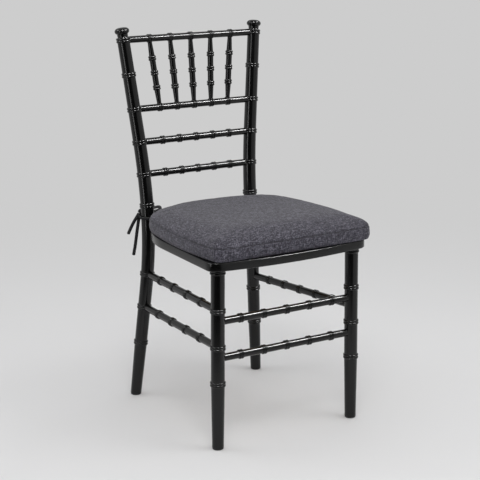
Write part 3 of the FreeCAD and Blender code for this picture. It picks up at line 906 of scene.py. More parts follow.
def rail_between(name: str, ends: tuple[Vector, Vector], stop: float, diameter: float,
                 knots: tuple[int, float], lacquer: bpy.types.Material) -> None:
    """Make an even round rail between two legs or posts.

    Args:
        name: The node that it stands for.
        ends: Points on the axes of the two legs or posts.
        stop: Length left free at each end.
        diameter: Its diameter.
        knots: Number of knots and their pitch.
        lacquer: The finish.
    """
    axis, length = straight_axis(*ends, stop)
    taper = [(0.0, diameter / 2), (length, diameter / 2)]
    TurnedMember(name, axis, taper, even_places(*knots, length / 2)).lacquered(lacquer)


@dataclass
class Stretchers:
    """Rails between the legs: two on the left, one on the right and two in front."""

    diameter: float = 17.6
    stop: float = 2.0
    # Heights at the rear post and at the front leg.
    left_places: tuple[Point, ...] = ((317.0, 327.8), (232.5, 241.8))
    right_place: Point = (266.0, 282.5)
    front_heights: Point = (302.0, 216.0)
    # Number of knots and their pitch.
    left_knots: tuple[int, float] = (4, 74.0)
    other_knots: tuple[int, float] = (5, 62.5)

    def build(self, lacquer: bpy.types.Material) -> None:
        """Make all five stretchers.

        Args:
            lacquer: The finish.
        """
        places = {}
        for word, (rear, front) in zip(("upper", "lower"), self.left_places):
            ends = STANCE.post_point(Side.LEFT, rear), STANCE.front_point(Side.LEFT, front)
            places["left_stretcher_" + word] = ends, self.left_knots
        rear, front = self.right_place
        ends = STANCE.post_point(Side.RIGHT, rear), STANCE.front_point(Side.RIGHT, front)
        places["right_stretcher"] = ends, self.other_knots
        for word, height in zip(("upper", "lower"), self.front_heights):
            ends = STANCE.front_point(Side.LEFT, height), STANCE.front_point(Side.RIGHT, height)
            places["front_stretcher_" + word] = ends, self.other_knots
        for name, (ends, knots) in places.items():
            rail_between(name, ends, self.stop, self.diameter, knots, lacquer)


@dataclass
class Back:
    """Four rails between the posts and five spindles between the top two."""

    rail_diameter: float = 16.6
    # Name, height at the posts, and pitch of the knots.
    rails: tuple[tuple[str, float, float], ...] = (
        ("top_rail", 889.5, 57.0), ("spindle_rail", 723.5, 48.3),
        ("middle_rail", 643.5, 47.3), ("lower_rail", 565.0, 46.4))
    knot_count: int = 5
    stop: float = 2.0
    spindle_diameter: float = 14.6
    spindle_end: float = 10.8
    spindle_socket: float = 5.5
    # Length of a spindle's thin end outside its socket.
    spindle_shoulder: float = 3.2
    spindle_knots: tuple[int, float] = (3, 36.0)

    def build(self, lacquer: bpy.types.Material) -> None:
        """Make the rails and the spindles.

        Args:
            lacquer: The finish.
        """
        for name, height, pitch in self.rails:
            ends = STANCE.post_point(Side.LEFT, height), STANCE.post_point(Side.RIGHT, height)
            rail_between(name, ends, self.stop, self.rail_diameter, (self.knot_count, pitch), lacquer)
        for index in range(self.knot_count):
            self.spindle(index, lacquer)

    def spindle(self, index: int, lacquer: bpy.types.Material) -> None:
        """Make one spindle.

        Args:
            index: Its number from the left, from 0.
            lacquer: The finish.
        """
        (_, top, top_pitch), (_, low, low_pitch) = self.rails[:2]
        ends = []
        for height, pitch in ((low, low_pitch), (top, top_pitch)):
            point = STANCE.post_point(Side.RIGHT, height)
            point.x = even_places(self.knot_count, pitch)[index]
            ends.append(point)
        axis, length = straight_axis(*ends, self.rail_diameter / 2 - self.spindle_socket)
        tenon = self.spindle_socket + self.spindle_shoulder
        knots = even_places(*self.spindle_knots, length / 2)
        thin, thick = self.spindle_end / 2, self.spindle_diameter / 2
        taper = [(0.0, thin), (tenon, thin), (knots[0], thick), (knots[-1], thick),
                 (length - tenon, thin), (length, thin)]
        TurnedMember("spindle_%d" % (index + 1), axis, taper, knots).lacquered(lacquer)


def both_sides(right: Sequence[Triple]) -> list[Triple]:
    """Corner circles of both sides, from the (x, y, radius) of those on the right."""
    return [*right, *((-x, y, radius) for x, y, radius in reversed(right))]


def rounded_outline(corners: Sequence[Triple], bows: Sequence[float], inset: float,
                    per_side: int) -> list[Vector]:
    """Points of a closed line of corner arcs joined by slightly bowed sides.

    Args:
        corners: (x, y, radius) of the corner circles, anticlockwise from the front right.
        bows: Rises of the sides that follow each corner.
        inset: Distance that the line is drawn in.
        per_side: Points from the middle of one corner to the middle of the next.

    Returns:
        The points, anticlockwise from the middle of the first corner.
    """
    # Each side is an arc of a big circle that touches the corner circles at both of its ends.
    arcs = []
    for index, (x, y, radius) in enumerate(corners):
        next_x, next_y, next_radius = corners[(index + 1) % len(corners)]
        first, second = Vector((x, y)), Vector((next_x, next_y))
        span = (second - first).length
        along = (second - first).normalized()
        inwards = Vector((-along.y, along.x))
        rise = bows[index]
        big = (span ** 2 / 4 + rise ** 2) / (2 * rise) + (radius + next_radius) / 2
        near, far = big - radius, big - next_radius
        shift = (near ** 2 - far ** 2 + span ** 2) / (2 * span)
        centre = first + along * shift + inwards * math.sqrt(near ** 2 - shift ** 2)
        arcs.append((centre, big, (first - centre).normalized(), (second - centre).normalized()))
    points = []
    for index, (centre, big, leave, arrive) in enumerate(arcs):
        spans = []
        for number, out in ((index, leave), ((index + 1) % len(arcs), arrive)):
            before, after = arcs[number - 1][3], arcs[number][2]
            middle = (before + after).normalized()
            x, y, radius = corners[number]
            ends = (middle, out) if number == index else (out, middle)
            spans.append((Vector((x, y)), radius - inset, ends[0], ends[1]))
        spans.insert(1, (centre, big - inset, leave, arrive))
        lengths = [reach * first.angle(second) for _, reach, first, second in spans]
        total = sum(lengths)
        for step in range(per_side):
            left = total * step / per_side
            for (middle, reach, first, second), length in zip(spans, lengths):
                if left <= length:
                    break
                left -= length
            points.append(middle + first.slerp(second, min(1.0, left / length)) * reach)
    return points


@dataclass
class SeatFrame:
    """Lacquered frame of four rails, whose sides run in to the fronts of the rear posts."""

    half_width: float = 213.0
    front_y: float = -231.0
    front_radius: float = 22.0
    # x, y and radius of the circles that round the flank and the rear corner.
    flank: Triple = (-38.5, 1.3, 243.3)
    rear_corner: Triple = (131.0, 178.7, 3.0)
    bows: tuple[float, ...] = (0.5, 0.3, 1.0, 0.3, 0.5, 16.5)
    per_side: int = 36
    opening_half_front: float = 158.5
    opening_half_rear: float = 134.0
    opening_front_y: float = -195.2
    opening_rear_y: float = 135.7
    opening_radius: float = 12.0
    opening_bows: tuple[float, ...] = (8.0, 1.0, 8.0, 8.0)
    opening_per_side: int = 90
    edge_round: float = 2.5
    edge_steps: int = 4
    ledge: float = 8.0
    panel: float = 6.0
    # y of the front and the rear joints.
    joints: Point = (-183.2, 123.7)
    joint_gap: float = 0.12
    post_play: float = 0.25
    post_tool_half: float = 16.0
    post_tool_sides: int = 56
    dowel_diameter: float = 6.0
    dowel_length: float = 26.0
    dowel_depth: float = 11.5
    dowel_sides: int = 20
    # Distances from the middle of the chair, at the front and at the rear joints.
    dowel_x: tuple[Point, ...] = ((170.0, 186.0), (143.5, 154.5))

    def outer(self, inset: float, height: float) -> list[Vector]:
        """Closed line of the frame's outside.

        Args:
            inset: Distance that it is drawn in.
            height: Its height.

        Returns:
            Its points, anticlockwise.
        """
        front = (self.half_width - self.front_radius, self.front_y + self.front_radius, self.front_radius)
        corners = both_sides([front, self.flank, self.rear_corner])
        return [Vector((*point, height))
                for point in rounded_outline(corners, self.bows, inset, self.per_side)]

    def inner(self, grow: float, height: float, like: list[Vector]) -> list[Vector]:
        """Closed line of the opening, with a point towards each point of another line.

        Args:
            grow: Distance that it is let out.
            height: Its height.
            like: The line that it has to match.

        Returns:
            Its points, anticlockwise.
        """
        radius = self.opening_radius
        corners = both_sides([(self.opening_half_front - radius, self.opening_front_y + radius, radius),
                              (self.opening_half_rear - radius, self.opening_rear_y - radius, radius)])
        line = rounded_outline(corners, self.opening_bows, -grow, self.opening_per_side)
        middle = Vector((0.0, (self.opening_front_y + self.opening_rear_y) / 2))
        turns = sorted((math.atan2(*(point - middle).yx), (point - middle).length) for point in line)
        found = []
        for point in like:
            way = point.xy - middle
            turn = math.atan2(way.y, way.x)
            after = next((index for index, (angle, _) in enumerate(turns) if angle > turn), 0)
            (low, near), (high, far) = turns[after - 1], turns[after]
            share = ((turn - low) % math.tau) / ((high - low) % math.tau)
            spot = middle + way.normalized() * (near + (far - near) * share)
            found.append(Vector((*spot, height)))
        return found

    def ring(self) -> bpy.types.Object:
        """Whole frame before it is parted.

        Returns:
            The frame, with rounded outer edges and the ledge for the panel.
        """
        top = STANCE.seat_height
        bottom = top - STANCE.seat_frame_thickness
        lines = []
        for low, sign in ((bottom, 1), (top, -1)):
            for step in range(self.edge_steps + 1)[::sign]:
                turn = math.radians(90 * step / self.edge_steps)
                lines.append(self.outer(self.edge_round * (1 - math.sin(turn)),
                                        low + sign * self.edge_round * (1 - math.cos(turn))))
        shelf = top - self.panel
        for grow, height in ((self.ledge, top), (self.ledge, shelf), (0.0, shelf), (0.0, bottom)):
            lines.append(self.inner(grow, height, lines[0]))
        faces = tube_faces(len(lines), len(lines[0]), closed=True)
        return mesh_object("whole_frame", [point for line in lines for point in line], faces)

    def rail(self, whole: bpy.types.Object, name: str,
             planes: Sequence[tuple[Vector, Vector]]) -> bpy.types.Object:
        """Part one rail from the whole frame.

        Args:
            whole: The whole frame.
            name: The node that it stands for.
            planes: Point and outward direction of each cut.

        Returns:
            The rail.
        """
        shape = bmesh.new()
        shape.from_mesh(whole.data)
        for point, way in planes:
            everything = shape.verts[:] + shape.edges[:] + shape.faces[:]
            cuts = bmesh.ops.bisect_plane(shape, geom=everything, plane_co=point * MM, plane_no=way,
                                          clear_outer=True)["geom_cut"]
            edges = [item for item in cuts if isinstance(item, bmesh.types.BMEdge)]
            bmesh.ops.holes_fill(shape, edges=edges)
        return poured(name + "_joined", shape)

    def rails(self, lacquer: bpy.types.Material) -> None:
        """Make the four rails.

        Args:
            lacquer: The finish.
        """
        front, rear = self.joints
        gap = Vector((0, self.joint_gap / 2, 0))
        ahead, behind = Vector((0, -1, 0)), Vector((0, 1, 0))
        at_front, at_rear = Vector((0, front, 0)), Vector((0, rear, 0))
        planes = {"seat_front_rail": [(at_front - gap, behind)], "seat_rear_rail": [(at_rear + gap, ahead)]}
        for side in Side:
            planes["seat_%s_rail" % side.name.lower()] = [
                (at_front + gap, ahead), (at_rear - gap, behind), (Vector(), Vector((-side.value, 0, 0)))]
        whole = self.ring()
        for name, cuts in planes.items():
            piece = self.rail(whole, name, cuts)
            if name == "seat_rear_rail":
                carve(piece, [self.post_tool(side) for side in Side])
                shade(piece.data)
            dress(piece, lacquer, [name])
        bpy.data.objects.remove(whole)

    def post_tool(self, side: Side) -> bpy.types.Object:
        """Round tool that clears the rear corner of the frame for a post.

        Args:
            side: Side of the chair.

        Returns:
            The tool.
        """
        middle = STANCE.seat_height - STANCE.seat_frame_thickness / 2
        radius = STANCE.post_radius + self.post_play
        way = STANCE.post_direction(side, middle)
        return TurnedMember("post_room", lambda rise: (STANCE.post_point(side, middle + rise), way),
                            [(-self.post_tool_half, radius), (self.post_tool_half, radius)],
                            sides=self.post_tool_sides).build()

    def dowels(self, beech: bpy.types.Material) -> None:
        """Make the eight dowels as one piece.

        Args:
            beech: The finish.
        """
        height = STANCE.seat_height - self.dowel_depth
        half, radius = self.dowel_length / 2, self.dowel_diameter / 2
        merged = bmesh.new()
        for joint, places in zip(self.joints, self.dowel_x):
            for x in [place * side.value for side in Side for place in places]:
                axis = line_axis(Vector((x, joint, height)), Vector((0, 1, 0)))
                rod = TurnedMember("dowel", axis, [(-half, radius), (half, radius)],
                                   sides=self.dowel_sides).build()
                merged.from_mesh(rod.data)
                bpy.data.objects.remove(rod)
        dress(poured("seat_dowels_fluted", merged), beech, ["seat_dowels"])

    def build(self, lacquer: bpy.types.Material, beech: bpy.types.Material,
              zinc: bpy.types.Material) -> None:
        """Make the four rails, their dowels and the two screws.

        Args:
            lacquer: The rails' finish.
            beech: The dowels' finish.
            zinc: The screws' finish.
        """
        self.rails(lacquer)
        self.dowels(beech)
        for side, nodes in zip(Side, (["post_screws"], [])):
            dress(PostScrew(side).build(), zinc, nodes)


def tree_of(points: Sequence[Vector]) -> kdtree.KDTree:
    """Search tree that finds the nearest of many points.

    Args:
        points: The points.

    Returns:
        The tree, ready to be asked.
    """
    tree = kdtree.KDTree(len(points))
    for index, point in enumerate(points):
        tree.insert(point, index)
    tree.balance()
    return tree


@dataclass
class Cushion:
    """Boxed seat cushion: woven cover, crowned top, drawn-in sides and a sewn top edge."""

    shift: float = 10.0
    front_width: float = 429.5
    rear_width: float = 413.0
    front_y: float = -237.5
    rear_y: float = 171.0
    front_radius: float = 22.0
    rear_radius: float = 111.0
    bows: tuple[float, ...] = (11.8, 10.5, 11.8, 4.2)
    per_side: int = 60
    bottom: float = 444.3
    side_height: float = 31.5
    side_steps: int = 12
    crown: float = 26.0
    # Share by which the crown grows to the right and to the back, over lean_reach.
    crown_lean: Point = (-0.1, -0.18)
    lean_reach: float = 200.0
    # The higher this power, the flatter the top and the steeper its edge.
    fullness: float = 6.0
    # How far the sides go in, over which share of their height, and with which power.
    bottom_draw_in: float = 4.5
    bottom_curl: Point = (0.4, 1.6)
    seam_draw_in: float = 2.2
    seam_curl: Point = (0.55, 1.5)
    # Rows of points crowd towards the seam by this share, with this power.
    gather: float = 0.9
    gather_power: int = 8
    pressure: float = 4.0
    air_frames: int = 20
    air_cap: float = 3.0
    cloth_quality: int = 5
    cloth_mass: float = 0.25
    tension: float = 20.0
    shear: float = 8.0
    bending: float = 0.5
    # Height of the band above the base that the air can't move, and the share held at the seam.
    base_band: float = 0.5
    seam_hold: float = 0.8
    seam_reach: float = 30.0
    seam_steps: int = 8
    crease_depth: float = 1.1
    crease_half: float = 1.6
    ridge_rise: float = 0.5
    ridge_place: float = 4.2
    ridge_half: float = 2.4
    pucker_mm: float = 8.0
    pucker_rise: float = 0.7
    pucker_reach: float = 9.0
    # Strength and half width of the shade painted into the cloth's colour along the seam.
    seam_shade: float = 0.8
    shade_half: float = 1.8
    # So wide that no edge of the cloth is crisp.
    crisp_angle: float = 180.0

    def ring(self, inset: float, height: float) -> list[Vector]:
        """Closed ring of points round the cushion.

        Args:
            inset: Distance drawn in from the outline.
            height: Height of the ring.

        Returns:
            Four times per_side points, anticlockwise from the front right.
        """
        front_x, rear_x = self.front_width / 2 - self.front_radius, self.rear_width / 2 - self.rear_radius
        corners = both_sides([(front_x, self.front_y + self.front_radius, self.front_radius),
                              (rear_x, self.rear_y - self.rear_radius, self.rear_radius)])
        return [Vector((self.shift + point.x, point.y, height))
                for point in rounded_outline(corners, self.bows, inset, self.per_side)]

    def gathered(self, share: float) -> float:
        """Share of the way to the seam, with more rows of points close to it."""
        return share + self.gather * (1 - share) * share ** self.gather_power

    def crown_at(self, offset: Vector, share: float) -> float:
        """Height of the top panel above the seam.

        Args:
            offset: Place to the right and to the back of the panel's middle.
            share: Share of the way from the middle to the seam.

        Returns:
            The height.
        """
        lean = sum(way * distance for way, distance in zip(self.crown_lean, offset)) / self.lean_reach
        return self.crown * (1 + lean) * math.sqrt(max(0.0, 1 - share ** self.fullness))

    def panel(self, upper: bool, points: list[Vector], faces: list[Face]) -> list[int]:
        """Add the top or the bottom panel as even squares whose edge is the rim.

        Args:
            upper: True for the top panel.
            points: Points of the cover, which it adds to.
            faces: Faces of the cover, which it adds to.

        Returns:
            Point numbers of the rim, anticlockwise from the front right.
        """
        count = self.per_side
        half = count // 2
        height = self.bottom + self.side_height if upper else self.bottom
        rim = self.ring(self.seam_draw_in if upper else self.bottom_draw_in, height)
        middle = Vector((self.shift, (self.front_y + self.rear_y) / 2, height))
        numbers = [[0] * (count + 1) for _ in range(count + 1)]
        for row in range(count + 1):
            for column in range(count + 1):
                across, along = column - half, row - half
                reach = max(abs(across), abs(along))
                share = self.gathered(reach / half) if upper else reach / half
                point = middle.copy()
                if reach:
                    point = middle.lerp(self.rim_point(rim, across / reach, along / reach), share)
                if upper:
                    point.z = height + self.crown_at(point.xy - middle.xy, share)
                numbers[row][column] = len(points)
                points.append(point)
        for low, high in zip(numbers, numbers[1:]):
            for column in range(count):
                square = (low[column], low[column + 1], high[column + 1], high[column])
                faces.append(square if upper else square[::-1])
        return self.border(numbers)

    def shell(self) -> tuple[list[Vector], list[Face], list[int]]:
        """Make the closed cover before it is filled.

        Returns:
            Its points, its faces, and the point numbers of its top seam.
        """
        points: list[Vector] = []
        faces: list[Face] = []
        below = self.panel(False, points, faces)
        above = self.panel(True, points, faces)
        rims = [below]
        bottom_share, bottom_power = self.bottom_curl
        seam_share, seam_power = self.seam_curl
        for step in range(1, self.side_steps):
            share = self.gathered(step / self.side_steps)
            inset = self.bottom_draw_in * max(0.0, 1 - share / bottom_share) ** bottom_power
            inset += self.seam_draw_in * max(0.0, (share - 1 + seam_share) / seam_share) ** seam_power
            ring = self.ring(inset, self.bottom + share * self.side_height)
            rims.append([len(points) + index for index in range(len(ring))])
            points.extend(ring)
        rims.append(above)
        for low, high in zip(rims, rims[1:]):
            for index in range(len(low)):
                after = (index + 1) % len(low)
                faces.append((low[index], low[after], high[after], high[index]))
        return points, faces, above

    def rim_point(self, rim: list[Vector], u: float, v: float) -> Vector:
        """Point of the rim that a direction on the square grid runs to.

        Args:
            rim: The rim's points, anticlockwise from the front right corner.
            u: Place across, from -1 to 1.
            v: Place from front to rear, from -1 to 1.

        Returns:
            The point, between two of the rim's points where needed.
        """
        if u >= 1 and v < 1:
            place = (v + 1) / 2
        elif v >= 1 and u > -1:
            place = 1 + (1 - u) / 2
        elif u <= -1 and v > -1:
            place = 2 + (1 - v) / 2
        else:
            place = 3 + (u + 1) / 2
        position = place * self.per_side % len(rim)
        low = int(position)
        return rim[low].lerp(rim[(low + 1) % len(rim)], position - low)

    def border(self, numbers: list[list[int]]) -> list[int]:
        """Point numbers round the edge of a square grid.

        Args:
            numbers: Point numbers by row and column.

        Returns:
            The numbers, anticlockwise from the front right.
        """
        count = self.per_side
        right = [numbers[row][count] for row in range(count)]
        rear = [numbers[count][count - column] for column in range(count)]
        left = [numbers[count - row][0] for row in range(count)]
        front = [numbers[0][column] for column in range(count)]
        return right + rear + left + front

    def fill_with_air(self, piece: bpy.types.Object, seam: Sequence[int]) -> None:
        """Let cloth pressure swell the cover between its base and its seam, and keep the result.

        Args:
            piece: The cover.
            seam: Point numbers of the top seam.
        """
        mesh = piece.data
        start = [vertex.co.copy() for vertex in mesh.vertices]
        held = piece.vertex_groups.new(name="held")
        base = (self.bottom + self.base_band) * MM
        held.add([vertex.index for vertex in mesh.vertices if vertex.co.z < base], 1.0, "REPLACE")
        held.add(list(seam), self.seam_hold, "REPLACE")
        settings = piece.modifiers.new("air", "CLOTH").settings
        settings.quality = self.cloth_quality
        settings.mass = self.cloth_mass
        settings.tension_stiffness = self.tension
        settings.compression_stiffness = self.tension
        settings.shear_stiffness = self.shear
        settings.bending_stiffness = self.bending
        settings.use_pressure = True
        settings.uniform_pressure_force = self.pressure
        settings.effector_weights.gravity = 0.0
        settings.vertex_group_mass = held.name
        scene = bpy.context.scene
        for step in range(self.air_frames):
            scene.frame_set(step + 1)
        settle(piece)
        cap = self.air_cap * MM
        furthest = 0.0
        for vertex, before in zip(piece.data.vertices, start):
            move = vertex.co - before
            furthest = max(furthest, move.length)
            if move.length > cap:
                vertex.co = before + move * (cap / move.length)
        scene.frame_set(1)
        log.info("cushion swelled by up to %.1f mm before the cap", furthest / MM)

    def sew(self, piece: bpy.types.Object, seam: Sequence[Vector]) -> None:
        """Press the seam in, with a gathered ridge on each side of it, and paint shade along it.

        Args:
            piece: The filled cover, finely divided.
            seam: Points of the seam, in metres.
        """
        line = []
        for point, after in zip(seam, [*seam[1:], seam[0]]):
            line += [point.lerp(after, step / self.seam_steps) for step in range(self.seam_steps)]
        tree = tree_of(line)
        mesh = piece.data
        darkness = mesh.attributes.new("seam", "FLOAT", "POINT")
        normals = [vertex.normal.copy() for vertex in mesh.vertices]
        for vertex, normal in zip(mesh.vertices, normals):
            distance = tree.find(vertex.co)[2] / MM
            if distance > self.seam_reach:
                continue
            waves = noise.noise(vertex.co / (self.pucker_mm * MM))
            press = -self.crease_depth * math.exp(-(distance / self.crease_half) ** 2)
            ridge = self.ridge_rise * math.exp(-((distance - self.ridge_place) / self.ridge_half) ** 2)
            pucker = self.pucker_rise * waves * math.exp(-distance / self.pucker_reach)
            vertex.co += normal * ((press + ridge * (1 + waves) + pucker) * MM)
            # Painted shade along the seam's crease, which the cloth's colour reads from the attribute
            # "seam".
            shadow = self.seam_shade * math.exp(-(distance / self.shade_half) ** 2)
            darkness.data[vertex.index].value = shadow

    def build(self, cloth: bpy.types.Material) -> None:
        """Make the cushion.

        Args:
            cloth: The cover's finish.
        """
        points, faces, seam = self.shell()
        piece = mesh_object("seat_cushion", points, faces, self.crisp_angle)
        self.fill_with_air(piece, seam)
        rim = [piece.data.vertices[number].co.copy() for number in seam]
        finer = piece.modifiers.new("round", "SUBSURF")
        finer.levels = 1
        finer.render_levels = 1
        settle(piece)
        tree = tree_of([vertex.co for vertex in piece.data.vertices])
        self.sew(piece, [tree.find(point)[0] for point in rim])
        piece.data.shade_smooth()
        dress(piece, cloth, ["cushion_cover", "cushion_foam", "cushion_board"])


@dataclass(frozen=True)
class CordPart:
    """One run of the tie: its route and how it lies."""

    node: str
    route: Sequence[Vector]
    # Direction that the cord's width starts along.
    flat: Vector
    far_end: FarEnd
    lay: Lay


@dataclass
class Tie:
    """Cord that holds the cushion to the left rear post, tied in a half bow."""

    width: float = 8.4
    thickness: float = 4.6
    # Length over which the strands turn once round the cord.
    lay: float = 11.0
    strands: int = 3
    groove: float = 0.16
    sides: int = 24
    crisp_angle: float = 70.0
    # Rings of a rounded end: share of half the thickness beyond it, and share of the full size.
    end_rings: tuple[Point, ...] = ((0.45, 0.89), (0.8, 0.6), (0.97, 0.25))
    spline_order: int = 3
    spline_steps: int = 10
    wrap_height: float = 464.0
    wrap_pitch: float = 8.4
    wrap_clearance: float = 0.35
    # Degrees that the cord goes round the post.
    wrap_span: float = 249.0
    wrap_steps: int = 18
    # Straight lengths before and after the turn round the post.
    leads: Point = (16.0, 14.0)
    knot_gap: float = 0.7
    knot_turn: float = 125.0
    knot_diameter: float = 12.0
    knot_size: float = 1.9
    knot_depth: float = 1.3
    knot_steps: int = 72
    # Share of the full cord, because the knot is pulled tight.
    knot_scale: float = 0.75
    # Degrees that the camera stands to the left of the chair's front.
    view_turn: float = 32.0
    # Share of the way up that the loop's width starts along.
    loop_tilt: float = 0.7
    # Routes as lengths to the left, back and up from the knot, as the camera sees them.
    loop_route: tuple[Triple, ...] = (
        (-0.5, 3.5, 2.0), (-7.0, 10.5, 3.4), (-17.0, 16.0, 3.6), (-27.5, 15.5, 4.8), (-36.5, 15.5, 7.6),
        (-42.5, 16.0, 9.2), (-48.0, 17.0, 10.8), (-51.0, 20.0, 14.2), (-48.0, 23.5, 17.2),
        (-42.0, 24.5, 16.6), (-34.0, 24.5, 14.2), (-23.7, 23.5, 11.8), (-13.3, 21.5, 11.0),
        (-6.0, 17.0, 11.8), (-1.0, 11.0, 10.9), (0.5, 4.0, 8.5))
    short_tail_route: tuple[Triple, ...] = (
        (1.5, -2.5, 5.0), (7.5, -3.0, -5.0), (15.0, -4.0, -17.5), (21.7, -5.5, -31.0), (27.3, -6.5, -43.7))
    long_tail_route: tuple[Triple, ...] = (
        (1.0, 1.5, -4.5), (2.5, 1.0, -14.0), (5.0, -0.5, -29.5), (8.2, -2.0, -52.0),
        (11.3, -4.0, -76.0), (15.4, -5.0, -97.5))

    def knot_middle(self) -> Vector:
        """Middle of the knot, beside the post.

        Returns:
            The point.
        """
        height = self.wrap_height - self.wrap_pitch * self.knot_turn / 360
        turn = math.radians(self.knot_turn)
        reach = STANCE.post_radius + self.knot_gap + self.knot_diameter / 2
        out = Vector((math.cos(turn), math.sin(turn), 0))
        return STANCE.post_point(Side.LEFT, height) + out * reach

    def ways(self) -> tuple[Vector, Vector]:
        """Directions to the left and to the back, as the camera sees them.

        Returns:
            The two directions, both level.
        """
        turn = math.radians(self.view_turn)
        left = Vector((-math.cos(turn), math.sin(turn), 0))
        return left, Vector((left.y, -left.x, 0))

    def placed(self, route: Sequence[Triple]) -> list[Vector]:
        """Points of a route that is given from the knot.

        Args:
            route: Lengths to the left, back and up of each point.

        Returns:
            The points.
        """
        left, back = self.ways()
        middle = self.knot_middle()
        return [middle + left * along + back * behind + UP * rise for along, behind, rise in route]

    def line(self, route: Sequence[Vector]) -> list[Vector]:
        """Points of the smooth line through the space of a route.

        Args:
            route: Control points of the line.

        Returns:
            The points of its NURBS spline.
        """
        data = bpy.data.curves.new("route", "CURVE")
        data.dimensions = "3D"
        data.resolution_u = self.spline_steps
        spline = data.splines.new("NURBS")
        spline.points.add(len(route) - 1)
        for spot, point in zip(spline.points, route):
            spot.co = (*point, 1.0)
        spline.order_u = self.spline_order
        spline.use_endpoint_u = True
        piece = bpy.data.objects.new("route", data)
        mesh = bpy.data.meshes.new_from_object(piece)
        points = [vertex.co.copy() for vertex in mesh.vertices]
        bpy.data.objects.remove(piece)
        bpy.data.curves.remove(data)
        bpy.data.meshes.remove(mesh)
        return points

    def rings(self, points: Sequence[Vector], closed: bool,
              scale: float) -> list[tuple[Vector, Vector, float, float]]:
        """Rings that a cord is swept through, with rounded ends where it is open.

        Args:
            points: Points of the cord's line.
            closed: True where its end meets its start.
            scale: Size against the full cord.

        Returns:
            Middle, direction, distance along the cord and share of the full size of each ring.
        """
        found = []
        travelled = 0.0
        count = len(points)
        for index, point in enumerate(points):
            before = points[index - 1] if closed else points[max(0, index - 1)]
            after = points[(index + 1) % count] if closed else points[min(count - 1, index + 1)]
            travelled += (point - points[index - 1]).length if index else 0.0
            found.append((point, (after - before).normalized(), travelled, 1.0))
        if closed:
            return found
        half = self.thickness * scale / 2
        ends = []
        for (point, way, gone, _), reach in ((found[0], -half), (found[-1], half)):
            ends.append([(point + way * (reach * out), way, gone + reach * out, size)
                         for out, size in self.end_rings])
        return ends[0][::-1] + found + ends[1]

    def sweep(self, name: str, points: Sequence[Vector], flat: Vector, closed: bool = False,
              scale: float = 1.0) -> bpy.types.Object:
        """Flat twisted cord along a line.

        Args:
            name: Name of the piece.
            points: Points of the line.
            flat: Direction that the cord's width starts along.
            closed: True where its end meets its start.
            scale: Size against the full cord.

        Returns:
            The cord.
        """
        rings = self.rings(points, closed, scale)
        vertices = []
        across = flat
        for point, way, gone, size in rings:
            kept = flat if closed else across
            across = (kept - kept.project(way)).normalized()
            thick = way.cross(across)
            for side in range(self.sides):
                turn = math.tau * side / self.sides
                lobe = abs(math.cos(self.strands / 2 * (turn - math.tau * gone / self.lay)))
                share = size * scale * (1 - self.groove * (1 - lobe))
                vertices.append(point + across * (self.width / 2 * share * math.cos(turn))
                                + thick * (self.thickness / 2 * share * math.sin(turn)))
        faces = tube_faces(len(rings), self.sides, closed)
        return mesh_object(name, vertices, faces, self.crisp_angle)

    def wrap_route(self) -> list[Vector]:
        """Route of the winding: a lead from the cushion, the turn round the post, and a lead back.

        Returns:
            The route's points.
        """
        radius = STANCE.post_radius + self.wrap_clearance + self.thickness / 2
        base = STANCE.post_point(Side.LEFT, self.wrap_height)
        lean = UP.rotation_difference(STANCE.post_direction(Side.LEFT, self.wrap_height))
        points = []
        for step in range(self.wrap_steps + 1):
            share = self.wrap_span * step / self.wrap_steps
            angle = math.radians(share)
            points.append(Vector((math.cos(angle) * radius, math.sin(angle) * radius,
                                  -self.wrap_pitch * share / 360)))
        end = math.radians(self.wrap_span)
        points.insert(0, points[0] - Vector((0, 1, 0)) * self.leads[0])
        points.append(points[-1] + Vector((-math.sin(end), math.cos(end), 0)) * self.leads[1])
        return [base + lean @ point for point in points]

    def knot_line(self) -> list[Vector]:
        """Closed line of the knot, which is a trefoil that faces up.

        Returns:
            The line's points.
        """
        left, back = self.ways()
        middle = self.knot_middle()
        points = []
        for step in range(self.knot_steps):
            turn = math.tau * step / self.knot_steps
            sideways = left * (math.sin(turn) + 2 * math.sin(2 * turn))
            backwards = back * (math.cos(turn) - 2 * math.cos(2 * turn))
            upwards = UP * (self.knot_depth * math.sin(3 * turn))
            points.append(middle + self.knot_size * (sideways + backwards - upwards))
        return points

    def cords(self) -> list[CordPart]:
        """The four runs of cord that meet in the knot.

        Returns:
            The loop, the two tails and the winding.
        """
        left, back = self.ways()
        return [CordPart("tie_loop", self.placed(self.loop_route), back + UP * self.loop_tilt,
                         FarEnd.OBJECT, Lay.LOOSE),
                CordPart("tie_tail_short", self.placed(self.short_tail_route), left,
                         FarEnd.BARE, Lay.HANGING),
                CordPart("tie_tail_long", self.placed(self.long_tail_route), left,
                         FarEnd.BARE, Lay.HANGING),
                CordPart("tie_wrap", self.wrap_route(), UP, FarEnd.OBJECT, Lay.TAUT)]

    def build(self, cord: bpy.types.Material) -> None:
        """Make the winding, the loop, both tails and the knot.

        Args:
            cord: The finish.
        """
        for part in self.cords():
            points = self.line(part.route)
            piece = self.sweep(part.node + "_cord", points, part.flat)
            dress(piece, cord, [part.node])
        knot = self.sweep("tie_knot_drawn", self.knot_line(), UP, closed=True, scale=self.knot_scale)
        dress(knot, cord, ["tie_knot"])


